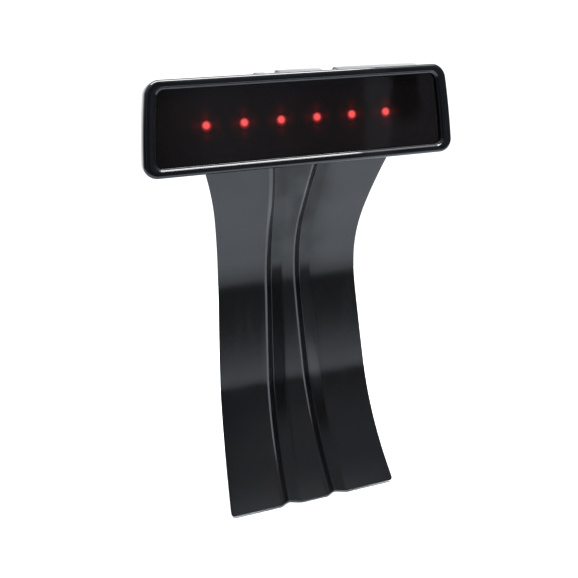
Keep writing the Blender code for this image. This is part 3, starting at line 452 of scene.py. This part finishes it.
def refined(node, material, width=0.3, segments=3, angle=38.0):
    """The CAD solid again, with its flat faces whole and its edges rounded."""
    bm = bmesh.new()
    bm.from_mesh(frame["nodes"][node].data)
    bmesh.ops.remove_doubles(bm, verts=bm.verts, dist=0.000004)
    bmesh.ops.dissolve_limit(bm, angle_limit=math.radians(0.6), verts=bm.verts, edges=bm.edges)
    obj = piece(node + "_fine", bm, material, [node], metres=True, recalc=True)
    if width > 0.0:
        edge_rounding(obj, width, segments, angle)
    return obj


def add_cylinder(bm, x, z, y0, y1, r, segments=32, front_r=None):
    spin = Matrix.Translation((x, (y0 + y1) / 2, z)) @ Matrix.Rotation(math.radians(90), 4, 'X')
    bmesh.ops.create_cone(bm, cap_ends=True, segments=segments, radius1=r,
                          radius2=r if front_r is None else front_r, depth=y1 - y0, matrix=spin)


def add_box(bm, x, y, z):
    centre = [(p[0] + p[1]) / 2 for p in (x, y, z)]
    size = [p[1] - p[0] for p in (x, y, z)]
    bmesh.ops.create_cube(bm, size=1.0, matrix=Matrix.Translation(centre) @ Matrix.Diagonal((*size, 1.0)))


def cut(obj, operation, build, metres=False):
    """Boolean with a throwaway operand, applied at once."""
    bm = bmesh.new()
    build(bm)
    if not metres:
        for v in bm.verts:
            v.co = world(v.co)
    bmesh.ops.recalc_face_normals(bm, faces=bm.faces)
    mesh = bpy.data.meshes.new("operand")
    bm.to_mesh(mesh)
    bm.free()
    operand = bpy.data.objects.new("operand", mesh)
    bpy.context.scene.collection.objects.link(operand)
    mod = obj.modifiers.new("cut", 'BOOLEAN')
    mod.operation = operation
    mod.solver = 'EXACT'
    mod.object = operand
    bpy.context.view_layer.update()
    depsgraph = bpy.context.evaluated_depsgraph_get()
    done = bpy.data.meshes.new_from_object(obj.evaluated_get(depsgraph))
    obj.modifiers.remove(mod)
    old = obj.data
    obj.data = done
    bpy.data.meshes.remove(old)
    bpy.data.objects.remove(operand, do_unlink=True)
    bpy.data.meshes.remove(mesh)
    return obj


def flatten_modifiers(obj):
    bpy.context.view_layer.update()
    done = bpy.data.meshes.new_from_object(obj.evaluated_get(bpy.context.evaluated_depsgraph_get()))
    obj.modifiers.clear()
    obj.data = done
    return obj


def lathe(profile, segments=40):
    """Closed turned mesh about +Z from (radius, height) pairs in mm, both ends on the axis; local metres."""
    bm = bmesh.new()
    rings = []
    for r, h in profile:
        if r <= 1e-9:
            rings.append([bm.verts.new((0, 0, h * MM))])
        else:
            rings.append([bm.verts.new((r * MM * math.cos(math.tau * i / segments),
                                        r * MM * math.sin(math.tau * i / segments), h * MM)) for i in range(segments)])
    for a, b in zip(rings, rings[1:]):
        for i in range(segments):
            j = (i + 1) % segments
            if len(a) == 1:
                bm.faces.new((a[0], b[i], b[j]))
            elif len(b) == 1:
                bm.faces.new((a[i], b[0], a[j]))
            else:
                bm.faces.new((a[i], b[i], b[j], a[j]))
    bmesh.ops.recalc_face_normals(bm, faces=bm.faces)
    return bm


def stand(name, mesh, material, node, at, facing, spin=0.0):
    """Object of a local mesh about +Z, turned to face the front or the rear, in place of node."""
    if not mesh.materials:
        mesh.materials.append(material)
    obj = bpy.data.objects.new(name, mesh)
    bpy.context.scene.collection.objects.link(obj)
    tip = Matrix.Rotation(math.radians(90 if facing == 'front' else -90), 4, 'X')
    obj.matrix_world = Matrix.Translation(at) @ tip @ Matrix.Rotation(spin, 4, 'Z')
    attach(obj, "root")
    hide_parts(node)
    return obj


# ================================================================ outlines of the head
HW, HH, CORNER, TAPER, BOW, CZ = 103.2, 28.55, 8.8, 0.094, 0.9, 1.0


def rounded_rect(half_w, half_h, radius, per_corner=16, per_side=9):
    points = []
    for k, (sx, sz) in enumerate(((1, -1), (1, 1), (-1, 1), (-1, -1))):
        start = math.radians(-90 + 90 * k)
        for i in range(per_corner + 1):
            a = start + math.radians(90) * i / per_corner
            points.append((sx * (half_w - radius) + radius * math.cos(a), sz * (half_h - radius) + radius * math.sin(a)))
        if k in (0, 2):
            z0 = sz * (half_h - radius)
            for i in range(1, per_side + 1):
                points.append((sx * half_w, z0 * (1 - 2 * i / (per_side + 1))))
        else:
            x0 = sx * (half_w - radius)
            for i in range(1, per_side + 1):
                points.append((x0 * (1 - 2 * i / (per_side + 1)), sz * half_h))
    return points


def head_loop(inset, y, half=None, radius=None):
    hw, hh = half if half else (HW - inset, HH - inset)
    r = radius if radius is not None else max(CORNER - inset, 1.2)
    loop = []
    for x, z in rounded_rect(hw, hh, r):
        share = abs(x) / HW
        grow = -TAPER * z * share - BOW * (z / HH) ** 2 * share
        loop.append((x + grow * math.copysign(1.0, x), y, z + CZ))
    return loop


def between(a, b, t):
    return a + (b - a) * t


# ---------------------------------------------------------------- rim
bm = bmesh.new()
f = 2.2
loops = []
for i in range(11):
    a = math.radians(90) * i / 10
    loops.append(head_loop(f * (1 - math.cos(a)), f * (1 - math.sin(a))))
# flat rim, a small lip, the slope down to the lens and a small foot
lip = [(97.5, 24.6, 5.8, 0.0), (97.3, 24.46, 5.62, 0.03), (97.08, 24.31, 5.44, 0.12), (96.9, 24.17, 5.28, 0.26), (96.74, 24.06, 5.15, 0.42)]
foot = [(96.36, 23.68, 4.95, 0.80), (96.28, 23.60, 4.88, 0.87), (96.16, 23.48, 4.78, 0.94), (95.66, 22.98, 4.36, 1.20), (95.56, 22.88, 4.28, 1.27),
        (95.50, 22.82, 4.22, 1.40), (95.48, 22.80, 4.2, 1.8), (95.48, 22.80, 4.2, 3.1)]
for hw, hh, r, y in lip:
    loops.append(head_loop(0, y, half=(hw, hh), radius=r))
for k in (1, 2, 3):
    t = k / 4
    loops.append(head_loop(0, between(lip[-1][3], foot[0][3], t), half=(between(lip[-1][0], foot[0][0], t), between(lip[-1][1], foot[0][1], t)),
                           radius=between(lip[-1][2], foot[0][2], t)))
for hw, hh, r, y in foot:
    loops.append(head_loop(0, y, half=(hw, hh), radius=r))
loops += [head_loop(0, 4.1, half=(95.48, 22.80), radius=4.2),
          head_loop(2.3, 4.1), head_loop(2.3, 8.5), head_loop(1.05, 8.5), head_loop(0.72, 8.42), head_loop(0.53, 8.18), head_loop(0.49, 7.6)]
loops_solid(bm, loops, closed=True)
rim = piece("rim_fine", bm, GLOSS, ["lens_bezel"], angle=40)

# ---------------------------------------------------------------- lens
bm = bmesh.new()
pad = (95.40, 22.72)
rows = [(0.8, 2.9, 3.2), (0.30, 2.9, 3.7), (0.14, 2.93, 3.86), (0.04, 3.01, 3.96), (0.0, 3.12, 4.0)]
loops = [head_loop(0, y, half=(pad[0] - d, pad[1] - d), radius=r) for d, y, r in rows]
loops += [head_loop(0, 4.4, half=pad, radius=4.0), head_loop(2.9, 4.4), head_loop(2.9, 6.4)]
loops_solid(bm, loops)
lens = piece("lens_fine", bm, SMOKED, ["smoked_lens"], angle=32)

# ---------------------------------------------------------------- housing tub
bm = bmesh.new()
TUB_BACK = 34.0
back_in = dict(half=(91.8, 20.4), radius=5.8)
loops = [head_loop(0, 31.8, **back_in), head_loop(5.1, 8.0), head_loop(2.9, 8.0)]
for i in range(1, 9):
    t = i / 8
    loops.append(head_loop(0, between(8.0, 31.5, t), half=(between(HW - 2.9, 94.0, t), between(HH - 2.9, 22.6, t)), radius=between(5.9, 8.0, t)))
for i in range(1, 7):
    a = math.radians(90) * i / 6
    loops.append(head_loop(0, 31.5 + 2.5 * math.sin(a), half=(94.0 - 2.5 * (1 - math.cos(a)), 22.6 - 2.5 * (1 - math.cos(a))), radius=8.0 - 2.2 * (1 - math.cos(a))))
loops_solid(bm, loops)
tub = piece("housing_fine", bm, GLOSS, ["lamp_housing"], angle=34)
LANDS = ((-25.5, -17.5, 30.2), (-11.0, 20.0, 31.0), (29.0, 88.0, 30.9))


def lands(bm):
    """Raised lands with sloped ends and round tops, clear of the tub's inside."""
    for x0, x1, top in LANDS:
        section = [(8.9, 24.2), (21.0, 24.2), (21.0, top - 0.7)]
        section += [(21.0 - 0.7 * (1 - math.cos(a)), top - 0.7 + 0.7 * math.sin(a)) for a in (0.4, 0.8, 1.2, 1.5)]
        section += [(19.0, top - 0.22), (16.0, top - 0.9), (12.5, top - 1.8), (9.3, top - 2.7), (8.9, top - 3.0)]
        stations = [(x0, 0.9), (x0 + 0.25, 0.4), (x0 + 0.7, 0.1), (x0 + 1.2, 0.0), (x1 - 1.2, 0.0), (x1 - 0.7, 0.1), (x1 - 0.25, 0.4), (x1, 0.9)]
        loops_solid(bm, [[(x, y, z - drop * max(0.0, (z - 24.2) / (top - 24.2))) for y, z in section] for x, drop in stations])


def tub_bosses(bm):
    for sx in (-1, 1):
        for sz in (-1, 1):
            add_cylinder(bm, sx * 80.5, sz * 12.5 + CZ, 16.8, 33.0, 3.4)
            add_cylinder(bm, sx * 38.0, sz * 11.0 + CZ - 4.0, 21.0, 33.0, 4.2)


def tub_ribs(bm):
    """Stiffening ribs on the tub's back."""
    for x in (-58.0, -50.0, 50.0):
        add_box(bm, (x - 0.6, x + 0.6), (32.8, 34.0), (-17.0, 19.0))


def tub_holes(bm):
    for sx in (-1, 1):
        for sz in (-1, 1):
            add_cylinder(bm, sx * 80.5, sz * 12.5 + CZ, 15.5, 26.0, 1.6, 20)
            add_cylinder(bm, sx * 38.0, sz * 11.0 + CZ - 4.0, 23.5, 35.0, 1.9, 24)
    add_box(bm, (63.7, 80.3), (29.0, 36.0), (CZ - 4.8, CZ + 4.8))
    add_cylinder(bm, -72.0, CZ, 29.0, 36.0, 3.3, 28)


cut(tub, 'UNION', lands)
cut(tub, 'UNION', tub_bosses)
cut(tub, 'DIFFERENCE', tub_holes)
smooth(tub.data, 34)

# ---------------------------------------------------------------- mast front shell
TOP, BOTTOM, THICK = -26.0, -257.0, 2.5
LEAN = ((-26.0, 24.6), (-62.0, 27.7), (-112.0, -0.6), (-174.0, -3.4), (-182.0, -7.6), (-236.0, -23.0), (-257.0, -29.0))
EDGE = ((-26.0, -21.9), (-95.0, -0.9), (-120.0, 3.7), (-190.0, 3.3), (-257.0, 7.2))
CHANNEL = ((-26.0, -9.5), (-90.0, 0.3), (-130.0, 2.5), (-257.0, 2.9))


def run_table(start, stations, soften=6.0):
    """Heights, and start plus the run of tan(angle) down to them; the angle's corners are softened."""
    zs = np.arange(stations[0][0] + 40.0, stations[-1][0] - 40.0, -0.5)
    a = np.interp(-zs, [-s[0] for s in stations], [s[1] for s in stations])
    width = int(soften / 0.5)
    kernel = np.hanning(2 * width + 3)
    kernel /= kernel.sum()
    a = np.convolve(np.pad(a, width + 1, mode='edge'), kernel, mode='valid')
    slope = np.tan(np.radians(a))
    run = np.concatenate([[0.0], np.cumsum((slope[1:] + slope[:-1]) / 2 * 0.5)])
    run += start - np.interp(-stations[0][0], -zs, run)
    return -zs, run


tables = {"y": run_table(12.7, LEAN), "edge": run_table(64.1, EDGE), "channel": run_table(15.4, CHANNEL)}


def table(name, z):
    return float(np.interp(-z, *tables[name]))


def down(z, pair):
    t = min(max((TOP - z) / (TOP - BOTTOM), 0.0), 1.0)
    return pair[0] + (pair[1] - pair[0]) * t


def sink(t):
    """Section of a channel: straight flanks with a small round at the lips and at the foot."""
    a = abs(t)
    lip, toe = 0.07, 0.06
    if a >= 1.0 + lip:
        return 0.0
    if a > 1.0 - lip:
        return (1.0 + lip - a) ** 2 / (4 * lip)
    if a < toe:
        return 1.0 - toe / 2 - a * a / (2 * toe)
    return 1.0 - a


def shell_point(x, z):
    depth, half = down(z, (3.4, 4.8)), down(z, (5.9, 7.1))
    return (x, table("y", z) + depth * sink((abs(x) - table("channel", z)) / half), z)


def shell_half(z):
    rise = z - BOTTOM
    half = table("edge", z)
    r = 2.4
    if rise < r:
        half -= r - math.sqrt(max(r * r - (r - rise) ** 2, 0.0))
    return half


def shell_columns(z):
    c, w, half = table("channel", z), down(z, (5.9, 7.1)), shell_half(z)
    lip_marks = [-1.07, -1.035, -1.0, -0.965, -0.93, -0.65, -0.44, -0.24, -0.1, -0.05, 0.0]
    marks = lip_marks + [-m for m in reversed(lip_marks[:-1])]
    inner = c - 1.07 * w
    xs = [inner * t for t in (0.0, 0.33, 0.67)] + [c + w * m for m in marks]
    outer = c + 1.07 * w
    xs += [outer + (half - outer) * t for t in (0.12, 0.25, 0.4, 0.55, 0.7, 0.82, 0.91, 0.96, 1.0)]
    return [-x for x in reversed(xs[1:])] + xs


zs = [BOTTOM + d for d in (0.0, 0.1, 0.3, 0.65, 1.1, 1.7, 2.4)]
count = 118
zs += [BOTTOM + 2.4 + (TOP - BOTTOM - 2.4) * (i + 1) / count for i in range(count)]


def shell_back(x, z):
    """The back of the shell, one thickness behind the front, drawn in a little along the outline."""
    half = shell_half(z)
    draw_in = min(max((abs(x) - (half - 12.0)) / 12.0, 0.0), 1.0) * 1.25
    x = math.copysign(abs(x) - draw_in, x)
    z = z + 0.7 * min(max((BOTTOM + 9.0 - z) / 9.0, 0.0), 1.0)
    p, across, along = (Vector(shell_point(*at)) for at in ((x, z), (x + 0.2, z), (x, z + 0.2)))
    normal = (along - p).cross(across - p).normalized()
    if normal.y < 0:
        normal.negate()
    return p + normal * (THICK - 0.02)


bm = bmesh.new()
front = [[bm.verts.new(shell_point(x, z)) for x in shell_columns(z)] for z in zs]
back = [[bm.verts.new(shell_back(x, z)) for x in shell_columns(z)] for z in zs]
for grid in (front, back):
    for a, b in zip(grid, grid[1:]):
        for i in range(len(a) - 1):
            bm.faces.new((a[i], a[i + 1], b[i + 1], b[i]) if grid is front else (a[i], b[i], b[i + 1], a[i + 1]))
for a, b in ((front[0], back[0]), (back[-1], front[-1])):
    for i in range(len(a) - 1):
        bm.faces.new((a[i + 1], a[i], b[i], b[i + 1]))
for k, (a, b) in enumerate(((front, back), (back, front))):
    side = 0 if k == 0 else -1
    for u, v in zip(range(len(zs) - 1), range(1, len(zs))):
        bm.faces.new((a[u][side], a[v][side], b[v][side], b[u][side]))
shell = piece("mast_shell_fine", bm, SATIN, ["mast_front_shell"], angle=60)
bevel = shell.modifiers.new("edge_rounding", 'BEVEL')
bevel.width = 0.35 * MM
bevel.segments = 3
bevel.limit_method = 'ANGLE'
bevel.angle_limit = math.radians(50)
flatten_modifiers(shell)
SCREWS = [(sx * x, z) for x, z in ((34.8, -44.6), (23.0, -112.0), (36.4, -241.0)) for sx in (-1, 1)]


def shell_bosses(bm):
    for x, z in SCREWS:
        y = table("y", z)
        start = max(table("y", z - 3.6), table("y", z + 3.6)) + 1.2
        add_cylinder(bm, x, z, start, y + 7.8, 3.6, 28)


def shell_boss_holes(bm):
    for x, z in SCREWS:
        y = table("y", z)
        add_cylinder(bm, x, z, y + 3.4, y + 9.0, 1.55, 20)


cut(shell, 'UNION', shell_bosses)
cut(shell, 'DIFFERENCE', shell_boss_holes)
smooth(shell.data, 45)

# ---------------------------------------------------------------- pieces that keep their CAD shape, with rounded edges
refined("mast_core_frame", NYLON, 0.35, 2)
refined("mast_rear_cover", SATIN, 0.8, 4, 50)
refined("mounting_plate", STEEL, 0.5, 3, 50)
refined("rear_pad_left", RUBBER, 0.5, 3)
refined("rear_pad_right", RUBBER, 0.5, 3)
refined("neck_seal", FOAM, 0.5, 3)
refined("side_clip_left", NYLON, 0.25, 3)
refined("side_clip_right", NYLON, 0.25, 3)
for side, inner in (("left", 1), ("right", 0)):
    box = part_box("side_clip_" + side)
    for v in bpy.data.objects["side_clip_%s_fine" % side].data.vertices:
        v.co.x = box[inner].x + (v.co.x - box[inner].x) * (1 - 0.9 * MM / (box[1].x - box[0].x))
refined("inlet_connector", NYLON, 0.25, 3)
refined("inlet_gasket", RUBBER, 0.15, 2)
refined("lens_seal", RUBBER, 0.12, 2, 60)
refined("optic_carrier", CARRIER, 0.15, 2)
refined("led_board", BOARD, 0.1, 2)
refined("driver_chip", CHIP, 0.1, 2)
refined("shunt_resistor_left", CHIP, 0.1, 2)
refined("shunt_resistor_right", CHIP, 0.1, 2)
refined("protection_diode", CHIP, 0.1, 2)
for i in (1, 2):
    refined("terminal_pin_%d" % i, TIN, 0.08, 2)


# ---------------------------------------------------------------- turned pieces
def rounded_head(r, h, edge=0.45, steps=5):
    """Profile of a pan head from its middle to its seat."""
    points = [(0.0, h), (r * 0.45, h - 0.02), (r * 0.66, h - 0.12)]
    for i in range(steps + 1):
        a = math.radians(20 + 70 * i / steps)
        points.append((r - (r * 0.3) * (1 - math.sin(a)), edge + (h - 0.25 - edge) * math.cos(a) / math.cos(math.radians(20))))
    points += [(r, 0.12), (r - 0.12, 0.0)]
    return points


def thread(r, low, high, pitch, start):
    """Plain rings that stand for the shank of a small screw, from high to low."""
    points = []
    h = high
    while h > low:
        points += [(r, h), (r - 0.28 * pitch, h - pitch * 0.5)]
        h -= pitch
    return [(start, high + 0.3)] + points


def cross_recess(mesh_bm, r, h, depth):
    """Object of the screw with a cross recess in its head, as a local mesh."""
    mesh = bpy.data.meshes.new("screw_fine")
    mesh_bm.to_mesh(mesh)
    mesh_bm.free()
    obj = bpy.data.objects.new("screw_blank", mesh)
    bpy.context.scene.collection.objects.link(obj)

    for k in range(2):
        def blade(bm, spin=Matrix.Rotation(math.radians(90 * k), 4, 'Z')):
            made = bmesh.ops.create_cube(bm, size=1.0, matrix=Matrix.Translation((0, 0, (h - depth / 2 + 0.3) * MM)) @
                                         Matrix.Diagonal((r * 1.15 * MM, r * 0.26 * MM, (depth + 0.6) * MM, 1.0)))
            low = min(v.co.z for v in made["verts"])
            for v in made["verts"]:
                if v.co.z - low < 1e-6:
                    v.co.x *= 0.45
                    v.co.y *= 0.45
            bmesh.ops.transform(bm, matrix=spin, verts=made["verts"])
        cut(obj, 'DIFFERENCE', blade, metres=True)
    if len(obj.data.polygons) < 50:
        raise RuntimeError("a screw lost its shape: %d faces" % len(obj.data.polygons))
    done = obj.data
    bpy.data.objects.remove(obj, do_unlink=True)
    smooth(done, 35)
    return done


random.seed(11)
nodes = frame["nodes"]


def screw_set(prefix, r, h, shank_r, facing, depth):
    names = sorted(k for k in nodes if k.startswith(prefix))
    for name in names:
        lo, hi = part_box(name)
        length = (hi.y - lo.y) / MM - h
        profile = rounded_head(r, h) + thread(shank_r, -length + 1.0, -0.6, 0.7, shank_r) + [(shank_r * 0.4, -length + 0.3), (0.0, -length)]
        mesh = cross_recess(lathe(profile, 32), r, h, depth)
        seat = (lo.y + h * MM) if facing == 'front' else (hi.y - h * MM)
        c = (lo + hi) / 2
        stand(name + "_fine", mesh, ZINC, name, (c.x, seat, c.z), facing, random.uniform(0, 1.5))


screw_set("board_screw_", 2.8, 1.7, 1.25, 'front', 0.9)
screw_set("head_screw_", 3.4, 2.2, 1.55, 'rear', 1.2)
screw_set("mast_screw_", 3.6, 2.3, 1.25, 'rear', 1.2)


def stud_mesh(r, reach, head_r, head_h, pitch=1.0, segments=28):
    """Stud with a helical thread from above the plate to its tip, a plain neck and a round head below."""
    bm = bmesh.new()
    neck = 7.0
    levels = [neck + (reach - neck) * i / int((reach - neck) / pitch * 8) for i in range(int((reach - neck) / pitch * 8) + 1)]
    rings = []

    def ring(radius_at, h):
        rings.append([bm.verts.new((radius_at(a) * MM * math.cos(a), radius_at(a) * MM * math.sin(a), h * MM))
                      for a in [math.tau * i / segments for i in range(segments)]])

    ring(lambda a: head_r - 0.4, -head_h)
    ring(lambda a: head_r, -head_h + 0.4)
    ring(lambda a: head_r, -0.35)
    ring(lambda a: head_r - 0.35, 0.0)
    ring(lambda a: r, 0.0)
    ring(lambda a: r, neck - 0.8)
    for h in levels:
        fade = min(1.0, (h - neck) / 1.5, (reach - h) / 0.8 + 0.25)

        def threaded(a, h=h, fade=fade):
            phase = (h / pitch - a / math.tau) % 1.0
            tooth = abs(phase - 0.5) * 2.0
            end = max(0.0, 1.0 - (reach - h) / 0.8) * 0.55
            return r - 0.52 * pitch * tooth * max(fade, 0.0) * 0.9 - end
        ring(threaded, h)
    for a, b in zip(rings, rings[1:]):
        for i in range(segments):
            j = (i + 1) % segments
            bm.faces.new((a[i], b[i], b[j], a[j]))
    bm.faces.new(rings[0])
    bm.faces.new(list(reversed(rings[-1])))
    bmesh.ops.recalc_face_normals(bm, faces=bm.faces)
    mesh = bpy.data.meshes.new("stud_fine")
    bm.to_mesh(mesh)
    bm.free()
    smooth(mesh, 50)
    return mesh


lo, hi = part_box("mounting_stud_1")
stud = stud_mesh(3.0, (hi.y - lo.y) / MM - 2.3, 6.5, 2.3)
for i in range(1, 5):
    lo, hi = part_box("mounting_stud_%d" % i)
    c = (lo + hi) / 2
    stand("mounting_stud_%d_fine" % i, stud, ZINC, "mounting_stud_%d" % i, (c.x, lo.y + 2.3 * MM, c.z), 'rear', 0.6 * i)

# LED optics: a dome with a flange.
dome = [(0.0, 1.5)] + [(3.9 * math.sin(a), 1.5 * math.cos(a)) for a in [math.radians(90) * i / 12 for i in range(1, 13)]]
dome += [(3.98, -0.1), (4.0, -0.6), (3.98, -1.4), (3.3, -2.0), (2.6, -2.35), (2.4, -2.4), (0.0, -2.4)]
bm = lathe(dome, 40)
dome_mesh = bpy.data.meshes.new("optic_fine")
bm.to_mesh(dome_mesh)
bm.free()
smooth(dome_mesh, 40)
for i in range(1, 7):
    lo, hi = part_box("led_optic_%d" % i)
    c = (lo + hi) / 2
    obj = stand("led_optic_%d_fine" % i, dome_mesh, LIT, "led_optic_%d" % i, (c.x, lo.y + 1.5 * MM, c.z), 'front')
    refined("led_%d" % i, DIE, 0.08, 2)

# Capacitor can and breather cap.
can = [(0.0, 7.35), (2.2, 7.4), (3.5, 7.5), (3.75, 7.42), (3.95, 7.2), (4.0, 6.9), (4.0, 6.25), (3.88, 6.1), (3.72, 5.9), (3.88, 5.7),
       (4.0, 5.55), (4.0, 0.5), (3.9, 0.2), (3.6, 0.0), (0.0, 0.0)]
bm = lathe(can, 40)
mesh = bpy.data.meshes.new("can_fine")
bm.to_mesh(mesh)
bm.free()
smooth(mesh, 40)
lo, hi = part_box("input_capacitor")
c = (lo + hi) / 2
stand("input_capacitor_fine", mesh, CAN, "input_capacitor", (c.x, lo.y, c.z), 'rear')
vent = [(0.0, 3.95), (1.2, 4.0), (1.3, 4.2), (3.2, 4.2), (4.4, 4.05), (5.2, 3.75), (5.7, 3.3), (6.0, 2.8), (6.0, 1.7), (5.75, 1.55), (5.75, 1.25),
        (6.0, 1.1), (6.0, 0.3), (5.8, 0.0), (2.9, 0.0), (2.9, -1.2), (2.7, -1.5), (2.9, -1.9), (2.9, -4.4), (2.7, -4.8), (2.3, -5.0), (0.0, -5.0)]
bm = lathe(vent, 44)
mesh = bpy.data.meshes.new("vent_fine")
bm.to_mesh(mesh)
bm.free()
smooth(mesh, 40)
lo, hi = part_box("breather_vent")
c = (lo + hi) / 2
stand("breather_vent_fine", mesh, RUBBER, "breather_vent", (c.x, hi.y - 4.2 * MM, c.z), 'rear')

# ================================================================ floor
floor_mat, n, shader = new_material("floor", roughness=0.9)
where = n.place()
split = n.add('ShaderNodeSeparateXYZ')
n.link(where, split.inputs[0])
paper = n.blend(n.span(n.noise(where, 9.0, 3.0), 0.3, 0.7), (0.555, 0.600, 0.655), (0.575, 0.620, 0.675))
# Painted shade: the sheet's colour darkens towards the viewer, outside the camera's view, so the lamp's glossy faces
# reflect a darker floor there.
ramp = n.add('ShaderNodeValToRGB')
slant = n.math('ADD', split.outputs[1], n.span(split.outputs[0], 0.10, 0.24, -0.016, 0.0))
n.link(n.span(slant, -0.66, -0.26, 0.0, 1.0, soft=False), ramp.inputs[0])
stops = [(-0.66, 0.05), (-0.60, 0.07), (-0.57, 0.09), (-0.54, 0.15), (-0.515, 0.25), (-0.485, 0.39), (-0.45, 0.56), (-0.39, 0.70), (-0.36, 0.80), (-0.28, 1.0)]
elements = ramp.color_ramp.elements
for k, (y, value) in enumerate(stops):
    position = (y + 0.66) / 0.40
    e = elements[k] if k < 2 else elements.new(position)
    e.position = position
    e.color = (value, value, value, 1.0)
# Painted shade: the sheet is darker still at the left, in front.
painted_shade_corner = n.math('MULTIPLY', n.span(split.outputs[0], -0.26, -0.10, 1.0, 0.0), n.span(split.outputs[1], -0.34, -0.26, 1.0, 0.0))
# The paper's colour times the painted shade of the fall-off and of the left front.
tone = n.blend(1.0, paper, ramp.outputs[0], 'MULTIPLY')
tone = n.blend(1.0, tone, n.math('SUBTRACT', 1.0, n.math('MULTIPLY', painted_shade_corner, 0.8)), 'MULTIPLY')
# Seen directly it stays one plain pale sheet from every side; the painted shade shows only in what the lamp's faces
# reflect and in light bounced off the sheet.
seen = n.add('ShaderNodeLightPath').outputs['Is Camera Ray']
n.link(n.blend(seen, tone, (0.92, 0.93, 0.94)), shader.inputs['Base Color'])
bm = bmesh.new()
corners = [(-0.75, -0.66, FLOOR_Z), (0.75, -0.66, FLOOR_Z), (0.75, 0.62, FLOOR_Z), (-0.75, 0.62, FLOOR_Z)]
bm.faces.new([bm.verts.new(p) for p in corners])
mesh = bpy.data.meshes.new("floor")
bm.to_mesh(mesh)
bm.free()
mesh.materials.append(floor_mat)
floor = bpy.data.objects.new("floor", mesh)
bpy.context.scene.collection.objects.link(floor)

# ================================================================ light


def softbox(name, at, look, size, radiance, colour=(1, 1, 1)):
    data = bpy.data.lights.new(name, 'AREA')
    data.shape = 'RECTANGLE'
    data.size, data.size_y = size
    data.energy = radiance * math.pi * size[0] * size[1]
    data.color = colour
    obj = bpy.data.objects.new(name, data)
    bpy.context.scene.collection.objects.link(obj)
    at = Vector(at)
    direction = (Vector(look) - at).normalized()
    obj.matrix_world = Matrix.Translation(at) @ direction.to_track_quat('-Z', 'Y').to_matrix().to_4x4()
    return obj


softbox("overhead", (0.0, -0.25, 1.0), (0.0, -0.25, 0.0), (0.92, 0.40), 23.0)
softbox("overhead_end", (0.60, -0.25, 1.0), (0.60, -0.25, 0.0), (0.26, 0.40), 4.5)

# Surroundings: white to the camera; otherwise white behind the lamp and mostly dark on the camera's side.
sky = bpy.data.worlds.new("surroundings")
bpy.context.scene.world = sky
sky.use_nodes = True
tree = sky.node_tree
tree.nodes.clear()
n = Nodes(tree)
coord = n.add('ShaderNodeTexCoord')
split = n.add('ShaderNodeSeparateXYZ')
n.link(coord.outputs['Generated'], split.inputs[0])
elevation = n.math('MULTIPLY', n.math('ARCSINE', split.outputs[2]), 180.0 / math.pi)
ramp = n.add('ShaderNodeValToRGB')
n.link(n.span(elevation, -30.0, 30.0, 0.0, 1.0, soft=False), ramp.inputs[0])
stops = [(-30.0, 0.16), (-12.0, 0.20), (-3.0, 0.21), (0.0, 0.24), (6.0, 0.32), (12.0, 0.36), (20.0, 0.36), (24.0, 0.46), (27.0, 0.60), (30.0, 0.80)]
elements = ramp.color_ramp.elements
for i, (deg, value) in enumerate(stops):
    position = (deg + 30.0) / 60.0
    e = elements[i] if i < 2 else elements.new(position)
    e.position = position
    e.color = (value * 0.96, value, value * 1.10, 1.0)
# A few dim shapes in the room, which the flat lens shows.
bearing = n.math('MULTIPLY', n.math('ARCTAN2', split.outputs[0], n.math('MULTIPLY', split.outputs[1], -1.0)), 180.0 / math.pi)
waver = n.math('SUBTRACT', n.noise(coord.outputs['Generated'], 26.0, 3.0, 0.6), 0.5)
bearing = n.math('ADD', bearing, n.math('MULTIPLY', waver, 1.6))
height = n.math('ADD', elevation, n.math('MULTIPLY', waver, 2.4))
dark = n.math('MULTIPLY', n.span(bearing, 28.8, 29.1), n.span(bearing, 30.3, 30.7, 1.0, 0.0))
dark = n.math('MULTIPLY', dark, n.span(height, -4.6, -3.4))
pale = n.math('MULTIPLY', n.span(bearing, 27.4, 27.8), n.span(bearing, 28.7, 29.0, 1.0, 0.0))
pale = n.math('MULTIPLY', pale, n.span(elevation, 0.0, 2.0, 1.0, 0.0))
shade = n.math('ADD', n.math('SUBTRACT', 1.0, n.math('MULTIPLY', dark, 0.68)), n.math('MULTIPLY', pale, 0.6))
low = n.span(elevation, -3.0, 2.0, 1.0, 0.0)
aside = n.math('MULTIPLY', n.span(bearing, -35.0, -27.0, 1.0, 0.0), n.span(elevation, 0.0, 8.0, 1.0, 0.0))
shade = n.math('MULTIPLY', shade, n.math('SUBTRACT', 1.0, n.math('MULTIPLY', aside, 0.74)))
dim = n.math('MULTIPLY', n.math('MULTIPLY', n.span(bearing, 22.5, 25.0), n.span(bearing, 27.2, 27.8, 1.0, 0.0)), low)
shade = n.math('MULTIPLY', shade, n.math('SUBTRACT', 1.0, n.math('MULTIPLY', dim, 0.28)))
lift = n.math('MULTIPLY', n.span(bearing, 19.5, 22.5, 1.0, 0.0), low)
shade = n.math('MULTIPLY', shade, n.math('ADD', 1.0, n.math('MULTIPLY', lift, 0.16)))
edge = n.math('MULTIPLY', n.span(bearing, 15.0, 19.5, 1.0, 0.0), n.span(bearing, 2.0, 8.0))
shade = n.math('MULTIPLY', shade, n.math('SUBTRACT', 1.0, n.math('MULTIPLY', edge, 0.6)))
front = n.blend(1.0, ramp.outputs[0], shade, 'MULTIPLY')
behind = n.span(split.outputs[1], -0.05, 0.25)
light_all = n.blend(behind, front, (2.0, 2.04, 2.08))
back = n.add('ShaderNodeBackground')
n.link(light_all, back.inputs['Color'])
white = n.add('ShaderNodeBackground')
white.inputs['Color'].default_value = (1.3, 1.3, 1.3, 1.0)
path = n.add('ShaderNodeLightPath')
mix = n.add('ShaderNodeMixShader')
n.link(path.outputs['Is Camera Ray'], mix.inputs[0])
n.link(back.outputs[0], mix.inputs[1])
n.link(white.outputs[0], mix.inputs[2])
out = n.add('ShaderNodeOutputWorld')
n.link(mix.outputs[0], out.inputs[0])
